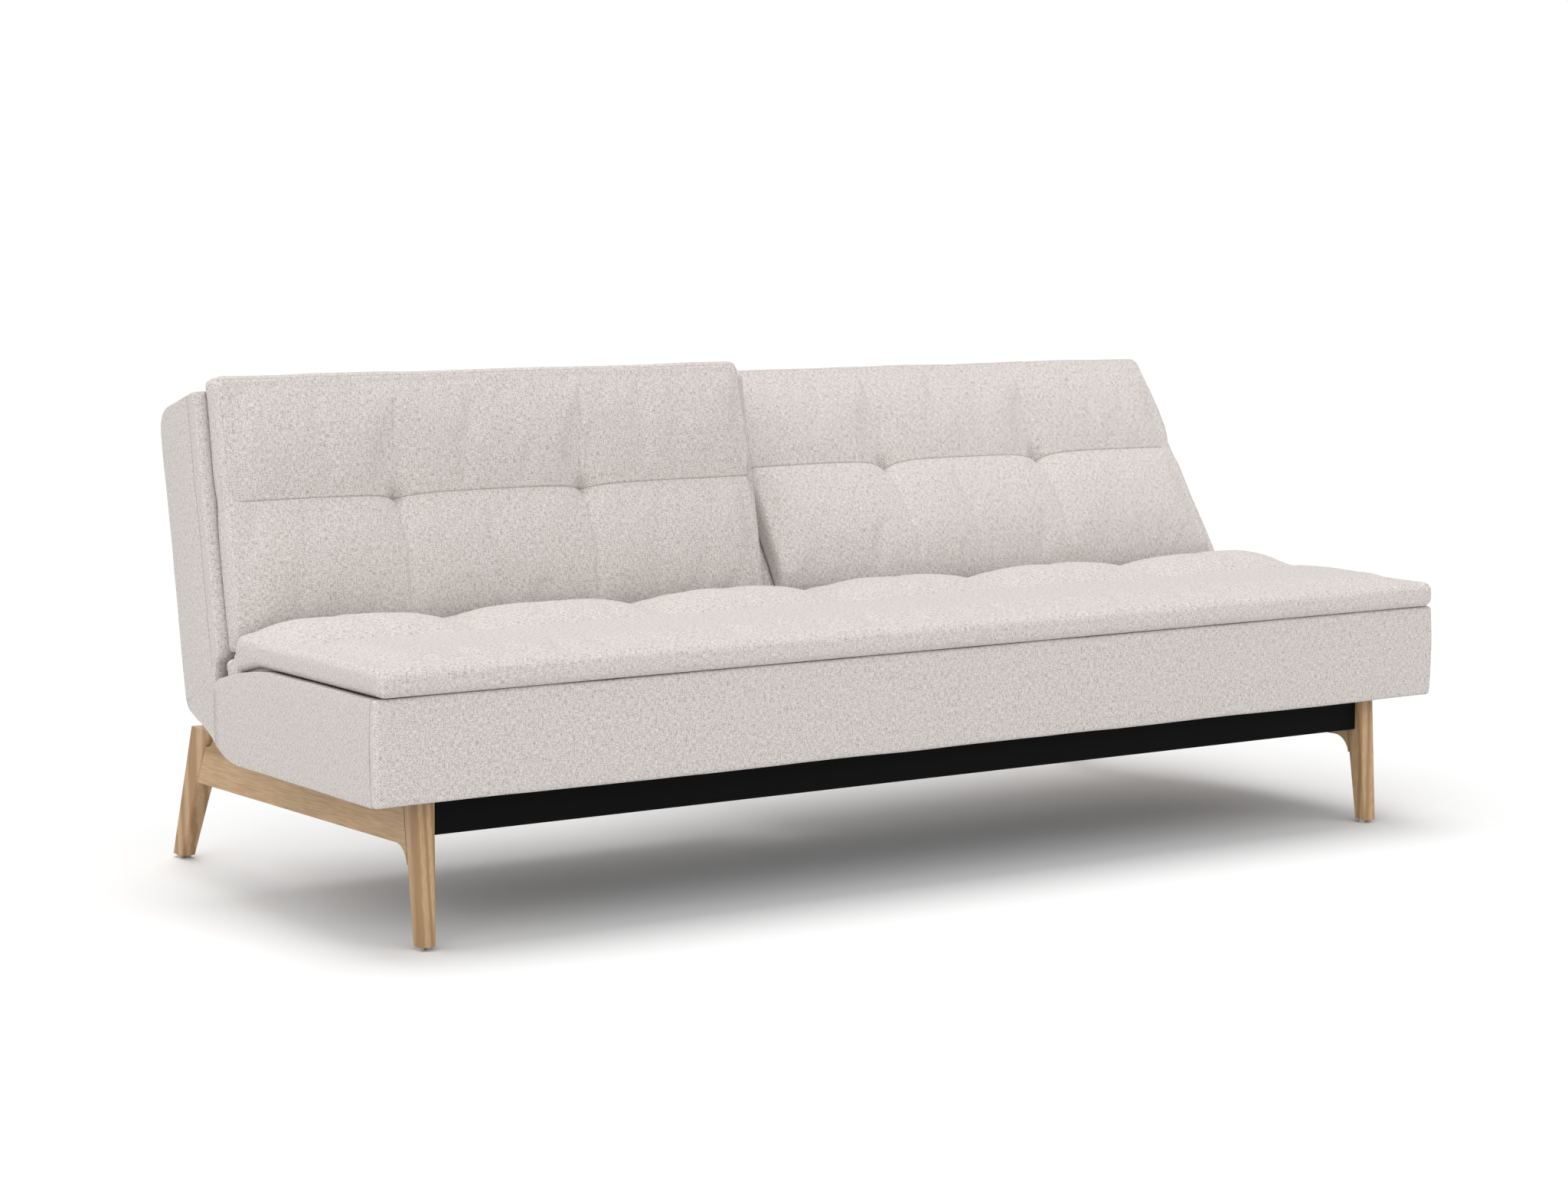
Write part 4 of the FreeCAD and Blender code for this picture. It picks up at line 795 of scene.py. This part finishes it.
class SOFA_OT_back_shells(bpy.types.Operator):
    """Upholstered shell of each back: sides, top, rear and rounded foot"""

    bl_idname = "sofa.back_shells"
    bl_label = "Back shells"

    inner, outer = 0.006, HALF_WIDTH
    front, rear, top, fall = -0.093, 0.045, 0.473, 0.013
    side_width, flange_width, edge_round, top_round = 0.031, 0.026, 0.006, 0.034
    foot_height = 0.0587

    def execute(self, context):
        for side, sign in SIDES.items():
            place = back_place(side)
            self.shell_side(side, sign, place, "outer")
            self.shell_side(side, sign, place, "inner")
            self.top_and_rear(side, sign, place)
            self.foot(side, sign, place)
        return {"FINISHED"}

    def shell_side(self, side, sign, place, label):
        """One upright side of a shell, with a sewn flange along its front."""
        front, rear, top = self.front, self.rear, self.top
        if label == "outer":
            span = (self.outer - self.side_width, self.outer)
        else:
            span = (self.inner, self.inner + self.side_width)
        near, far = sorted(sign * x for x in span)
        face = sign if label == "outer" else -sign
        profile = [(front, self.foot_height), (front, top), (rear, top - self.fall), (rear, 0.0),
                   (0.0, 0.0084), (-0.0577, 0.0352)]
        rounds = ((1, self.edge_round), (2, self.top_round), (3, self.edge_round), (0, 0.010))
        shown = "far" if face > 0 else "near"
        bm = block(profile, near, far, self.edge_round, rounds, ends=(shown,))
        flange = front + self.flange_width
        slice_mesh(bm, 1, steps_between(front, rear, 0.012, (flange,)))
        slice_mesh(bm, 2, steps_between(0.0, top, 0.02))

        def swell(p, n):
            if label == "inner":
                turn_in = 0.025
                into = max(0.0, turn_in - abs(abs(p.x) - self.inner))
                share = ease(-p.y, -front - 0.05, -front)
                p.y += share * (turn_in - math.sqrt(turn_in ** 2 - into ** 2))
            elif sign > 0:
                drawn_in = 0.018
                p.x -= drawn_in * ease(-p.y, -front - 0.10, -front) * ease(p.z, 0.05, 0.42)
            if n.x * face < 0.3:
                return p
            bulge = 0.0025 * arch((p.y - flange) / (rear - flange), 1.0)
            bulge *= ease(p.z, 0.0, 0.06) * ease(top - p.z, 0.0, 0.05)
            return p + Vector((face * bulge, 0, 0))

        mould(bm, swell)
        slack_fabric(bm, 31.0 + span[0] * 9 + sign)
        sew(bm, lambda p, n: abs(p.y - flange) if n.x * face > 0.3 else None)
        piece = finish_piece(bm, f"{side}_back_{label}_side", place)
        dress(piece, f"{side}_back", [f"{side}_back_{label}_border"])

    def top_and_rear(self, side, sign, place):
        """The panels between the two sides of a shell."""
        front, rear, top, fall = self.front, self.rear, self.top, self.fall
        lap, depth = 0.0005, 0.026
        near, far = sorted((sign * (self.inner + self.side_width - lap),
                            sign * (self.outer - self.side_width + lap)))
        outline = [(front, top - depth), (front, top), (rear, top - fall),
                   (rear, top - fall - depth)]
        bm = block(outline, near, far, 0.0, ((1, self.edge_round), (2, self.top_round)))
        slice_mesh(bm, 0, steps_between(near, far, 0.02))
        slice_mesh(bm, 1, steps_between(front, rear, 0.014))
        slack_fabric(bm, 41.0 + sign)
        piece = finish_piece(bm, f"{side}_back_top_panel", place)
        dress(piece, f"{side}_back", [f"{side}_back_top_border"])
        bm = rounded_box((near, rear - 0.015, 0.002), (far, rear + 0.001, top - fall - 0.018),
                         0.004)
        slice_mesh(bm, 0, steps_between(near, far, 0.02))
        slice_mesh(bm, 2, steps_between(0.0, top - fall, 0.02))
        slack_fabric(bm, 51.0 + sign, 1.6)
        piece = finish_piece(bm, f"{side}_back_rear_panel_cover", place)
        dress(piece, f"{side}_back", [f"{side}_back_rear_panel"])

    def foot(self, side, sign, place):
        """The rounded foot, which closes the valley behind the seat, up to behind the cushion."""
        radius, under, steps, height = 0.110, math.radians(50), 12, 0.100
        start = math.asin(self.foot_height / radius)
        arc = []
        for k in range(steps + 1):
            angle = start - (start + under) * k / steps
            arc.append((-radius * math.cos(angle), radius * math.sin(angle)))
        outline = [(self.front + 0.002, height)] + arc + [
            (0.006, 0.0), (0.030, 0.006), (0.030, 0.056), (-0.060, 0.060), (-0.066, height)]
        outline = outline[::-1]
        near, far = sorted((sign * (self.inner + 0.060), sign * (self.outer - 0.0615)))
        bm = block(outline, near, far, 0.006)
        slice_mesh(bm, 0, steps_between(near, far, 0.018))
        slack_fabric(bm, 61.0 + sign, 1.4)
        piece = finish_piece(bm, f"{side}_back_foot", place)
        dress(piece, f"{side}_back", [f"{side}_back_foot_roll"])


class SOFA_OT_back_cushions(bpy.types.Operator):
    """Back cushions with a cross seam and two tufts each"""

    bl_idname = "sofa.back_cushions"
    bl_label = "Back cushions"

    bottom, top, seam = 0.064, 0.492, 0.296
    root, face = -0.0925, -0.1155
    inset = 0.034
    reach = {"left": 0.999, "right": 0.992}
    middle_gap, tuft_shift = 0.003, -0.018
    rim_seam = 0.007

    def execute(self, context):
        for side, sign in SIDES.items():
            self.cushion(context.scene.sofa_sizes, side, sign)
        return {"FINISHED"}

    def cut_block(self, near, far, tufts):
        """The plain boxed cushion, cut finely round its seams and tufts."""
        bottom, top = self.bottom, self.top
        outline = [(near, bottom), (far, bottom), (far, top), (near, top)]
        bm = block(outline, self.root, self.face, 0.009,
                   ((0, 0.012), (1, 0.012), (2, 0.016), (3, 0.016)), axis=1, ends=("far",))
        offsets = (-0.024, -0.018, -0.012, -0.008, -0.004, 0.0, 0.004, 0.008, 0.012, 0.018, 0.024)
        close = [tuft + offset for tuft in tufts for offset in offsets]
        even = [s for s in steps_between(near, far, 0.010, (near + 0.008, far - 0.008),
                                         (0.0015, 0.004))
                if min(abs(s - t) for t in tufts) > 0.028]
        slice_mesh(bm, 0, sorted(even + close))
        slice_mesh(bm, 2, steps_between(bottom, top, 0.009, (self.seam, top - self.rim_seam)))
        slice_mesh(bm, 1, steps_between(self.face, self.root, 0.009))
        return bm

    def tuft_relief(self, sizes, dx, dz):
        """How far a tuft, its gathers and its upright seam sink the face near it."""
        depth = sizes.tuft_depth * hump(math.hypot(dx, (dz - 0.008) * 1.1), 0.013)
        above = 1.0 if dz > 0 else 0.55
        depth += 0.009 * above * hump(math.hypot(dx + 0.30 * dz, dz * 0.75), 0.040)
        length = sizes.tuft_gather * 1.3
        if 0 < dz < length:
            fade = ease(length - dz, 0, sizes.tuft_gather)
            for slope in (-0.30, -0.08, 0.12):
                depth += 0.0040 * fade * hump(dx - slope * dz, 0.0032 + 0.03 * dz)
                depth -= 0.0018 * fade * hump(dx - (slope + 0.10) * dz, 0.005)
        if dz < 0:
            depth += 0.0024 * hump(dx + 0.02 * dz, 0.007) * ease(dz, -0.23, -0.02)
        else:
            depth += 0.0013 * hump(dx, 0.005) * ease(dz, 0.19, 0.02)
        return depth

    def cushion(self, sizes, side, sign):
        bottom, top, seam, root, face = self.bottom, self.top, self.seam, self.root, self.face
        near, far = sorted((sign * self.inset, sign * self.reach[side]))
        third = (HALF_WIDTH - self.middle_gap) / 3
        tufts = [sign * (self.middle_gap + third * k) + self.tuft_shift for k in (1, 2)]
        bm = self.cut_block(near, far, tufts)

        def sag(x):
            """How far the cross seam is drawn down at a tuft."""
            return sum(0.006 * math.exp(-abs(x - t) / 0.035) for t in tufts)

        def crown(p):
            """Height of the filling above the boxed edge."""
            across = arch(min(p.x - near, far - p.x, 0.22) / 0.44, 0.7)
            below, above = (bottom, seam) if p.z < seam else (seam, top)
            lobe = arch((p.z - below) / (above - below), 0.8)
            whole = arch((p.z - bottom) / (top - bottom), 0.4)
            height = (0.006 * whole + 0.005 * lobe) * (0.75 + 0.25 * across) + 0.002 * across
            for t in tufts:
                height -= self.tuft_relief(sizes, p.x - t, p.z - seam + sag(p.x))
            return height

        def rise(p, n):
            slope_in, tucked = 0.35, 0.010
            share = ease(-p.y, -root + 0.004, -face)
            outward = -1 if p.x < (near + far) / 2 else 1
            widen = 0.0
            if share < 1 and abs(n.x) > 0.5:
                widen = outward * max(0.0, slope_in * (p.y - face))
            end = ease(min(p.x - near, far - p.x), 0.05, 0.0)
            drawn_in = 0.002 if outward == sign and sign < 0 else 0.007
            pinch = -outward * end * drawn_in * (
                hump(p.z - seam, 0.022) + ease(p.z, 0.33, 0.48))
            tuck = tucked * ease(p.z, bottom + 0.035, bottom) * share
            low = sag(p.x) * hump(p.z - seam, 0.05)
            return Vector((p.x + widen + pinch, p.y - share * crown(p) + tuck, p.z - low))

        mould(bm, rise)
        slack_fabric(bm, 71.0 + sign, 1.3)

        def seams(p, n):
            if n.y > -0.25:
                return None
            line = abs(p.z - (seam - sag(p.x)))
            outer_end = p.x - near if sign < 0 else far - p.x
            if outer_end < 0.030:
                line += 0.02
            rim = min(abs(p.x - near - self.rim_seam), abs(far - self.rim_seam - p.x),
                      abs(top - self.rim_seam - p.z))
            return min(line, rim + 0.0007)

        sew(bm, seams)
        layer = bm.verts.layers.float.new("held")
        for vertex in bm.verts:
            x, y, z = vertex.co
            free = ease(-y, -root + 0.012, -face) * ease(min(x - near, far - x), 0.006, 0.03)
            free *= ease(top - z, 0.006, 0.03) * ease(z - bottom, 0.006, 0.03)
            free *= 1 - hump(z - seam + sag(x), 0.007)
            for t in tufts:
                free *= 1 - hump(math.hypot(x - t, z - seam), 0.022)
                free *= 1 - hump(math.hypot(x - t, (z - seam - 0.03) * 0.6), 0.028)
            vertex[layer] = 1 - free
        held = held_points(bm)
        piece = finish_piece(bm, f"{side}_back_cushion", back_place(side))
        stuff(piece, held, 0.010)
        smooth(piece)
        dress(piece, f"{side}_back", [f"{side}_back_pad"])


# Finishes

def both(*names):
    """The left and right node of each name."""
    return tuple(f"{side}_{name}" for side in SIDES for name in names)


CAD_FINISHES = {
    "oak upright": both("front_leg", "rear_leg"),
    "oak level": both("side_rail"),
    "black satin steel": ("front_apron_bar",),
    "zinc plated steel": ("hinge_bolts", "hinge_pins", "leg_joint_bolts", "rail_bolts",
                          *both("inner_seat_plate", "outer_seat_plate", "inner_back_arm",
                                "outer_back_arm", "pawl")),
    "spring steel": ("pawl_leaf_springs", "seat_springs", *both("back_springs")),
    "painted steel tube": ("seat_centre_tube", "seat_front_tube", "seat_left_end_tube",
                           "seat_right_end_tube", "seat_left_rear_tube", "seat_right_rear_tube",
                           *both("back_bottom_tube", "back_top_tube", "back_inner_stile",
                                 "back_outer_stile")),
    "grey glide": ("leg_glides",),
    "dust cloth": ("seat_dust_cover",),
}


class SOFA_OT_finishes(bpy.types.Operator):
    """Materials of the covers, oak, steel, glides and dust cloth"""

    bl_idname = "sofa.finishes"
    bl_label = "Finishes"

    def execute(self, context):
        colours = context.scene.sofa_colours
        rib_pitch = 0.0033
        woven_fabric(COVER, colours, rib_pitch)
        oak_wood("oak upright", colours, "Z")
        oak_wood("oak level", colours, "Y", 2.0)
        rolled_steel("black satin steel", (0.0022, 0.0022, 0.0022), 0.0, 0.62, 400.0, gloss=0.08)
        rolled_steel("painted steel tube", (0.05, 0.05, 0.052), 0.0, 0.5, 260.0)
        rolled_steel("zinc plated steel", (0.62, 0.62, 0.60), 1.0, 0.38, 320.0, 0.10)
        rolled_steel("spring steel", (0.30, 0.30, 0.31), 1.0, 0.42, 500.0)
        rolled_steel("grey glide", (0.50, 0.50, 0.49), 0.0, 0.6, 600.0, 0.06)
        rolled_steel("dust cloth", (0.025, 0.025, 0.025), 0.0, 0.9, 900.0, 0.3)
        for finish, names in CAD_FINISHES.items():
            for name in names:
                node = frame["nodes"][name]
                for slot in node.material_slots:
                    slot.material = bpy.data.materials[finish]
        return {"FINISHED"}


# Stage

class SOFA_OT_stage(bpy.types.Operator):
    """Pale floor, plain white surroundings, soft lights and the camera"""

    bl_idname = "sofa.stage"
    bl_label = "Stage"

    def execute(self, context):
        studio = context.scene.sofa_studio
        scene = context.scene
        floor_reach = 40
        bm = bmesh.new()
        bmesh.ops.create_grid(bm, x_segments=1, y_segments=1, size=floor_reach)
        mesh = bpy.data.meshes.new("studio_floor")
        bm.to_mesh(mesh)
        bm.free()
        floor = bpy.data.objects.new("studio_floor", mesh)
        scene.collection.objects.link(floor)
        material, nodes, links, shader = new_material("studio floor")
        nodes.remove(shader)
        plain = nodes.new("ShaderNodeBsdfDiffuse")
        seen = nodes.new("ShaderNodeLightPath").outputs["Is Camera Ray"]
        lift = remap(nodes, links, seen, 0.0, 1.0, 0.80, studio.floor_lift)
        links.new(grey_of(nodes, links, lift), plain.inputs["Color"])
        links.new(plain.outputs["BSDF"], nodes["Material Output"].inputs["Surface"])
        mesh.materials.append(material)
        self.surroundings(scene, studio)
        for name, strength, angle, turn in (
                ("overhead light", studio.overhead, 36, (-7, 4, 0)),
                ("left light", studio.left, 90, (55, 0, -90)),
                ("front light", studio.front, 90, (60, 0, -10))):
            lamp = bpy.data.lights.new(name, "SUN")
            lamp.energy = strength
            lamp.angle = math.radians(angle)
            holder = bpy.data.objects.new(name, lamp)
            holder.rotation_euler = [math.radians(a) for a in turn]
            scene.collection.objects.link(holder)
        self.camera(scene, studio)
        scene.view_settings.view_transform = "Standard"
        return {"FINISHED"}

    def surroundings(self, scene, studio):
        world = bpy.data.worlds.new("studio")
        scene.world = world
        world.use_nodes = True
        nodes, links = world.node_tree.nodes, world.node_tree.links
        background = nodes["Background"]
        background.inputs["Color"].default_value = (1, 1, 1, 1)
        path = nodes.new("ShaderNodeLightPath")
        seen = combined(nodes, links, "MAXIMUM", path.outputs["Is Camera Ray"],
                        path.outputs["Is Glossy Ray"])
        seen = combined(nodes, links, "MAXIMUM", seen, path.outputs["Is Transmission Ray"])
        links.new(remap(nodes, links, seen, 0.0, 1.0, studio.surroundings, 1.0),
                  background.inputs["Strength"])

    def camera(self, scene, studio):
        lens = bpy.data.cameras.new("photo camera")
        lens.lens = studio.lens
        lens.sensor_width = 36
        camera = bpy.data.objects.new("photo camera", lens)
        camera.location = CAMERA_PLACE
        camera.rotation_euler = [math.radians(angle) for angle in CAMERA_TURN]
        scene.collection.objects.link(camera)
        scene.camera = camera


class SOFA_PT_panel(bpy.types.Panel):
    """Sidebar list of the sofa bed's makers"""

    bl_label = "Sofa bed"
    bl_idname = "SOFA_PT_panel"
    bl_space_type = "VIEW_3D"
    bl_region_type = "UI"
    bl_category = "Sofa bed"

    def draw(self, context):
        for maker in MAKERS:
            self.layout.operator(maker.bl_idname)


MAKERS = (
    SOFA_OT_stage,
    SOFA_OT_finishes,
    SOFA_OT_seat_base,
    SOFA_OT_seat_cushion,
    SOFA_OT_gussets,
    SOFA_OT_back_shells,
    SOFA_OT_back_cushions,
)
SETTINGS = {"sofa_sizes": SofaSizes, "sofa_colours": SofaColours, "sofa_studio": StudioSettings}


def register():
    for group in SETTINGS.values():
        bpy.utils.register_class(group)
    for name, group in SETTINGS.items():
        setattr(bpy.types.Scene, name, bpy.props.PointerProperty(type=group))
    for maker in MAKERS:
        bpy.utils.register_class(maker)
    bpy.utils.register_class(SOFA_PT_panel)


def unregister():
    bpy.utils.unregister_class(SOFA_PT_panel)
    for maker in reversed(MAKERS):
        bpy.utils.unregister_class(maker)
    for name, group in SETTINGS.items():
        delattr(bpy.types.Scene, name)
        bpy.utils.unregister_class(group)


def main():
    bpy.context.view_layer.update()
    register()
    for maker in MAKERS:
        prefix, action = maker.bl_idname.split(".")
        getattr(getattr(bpy.ops, prefix), action)()


if __name__ == "__main__":
    main()
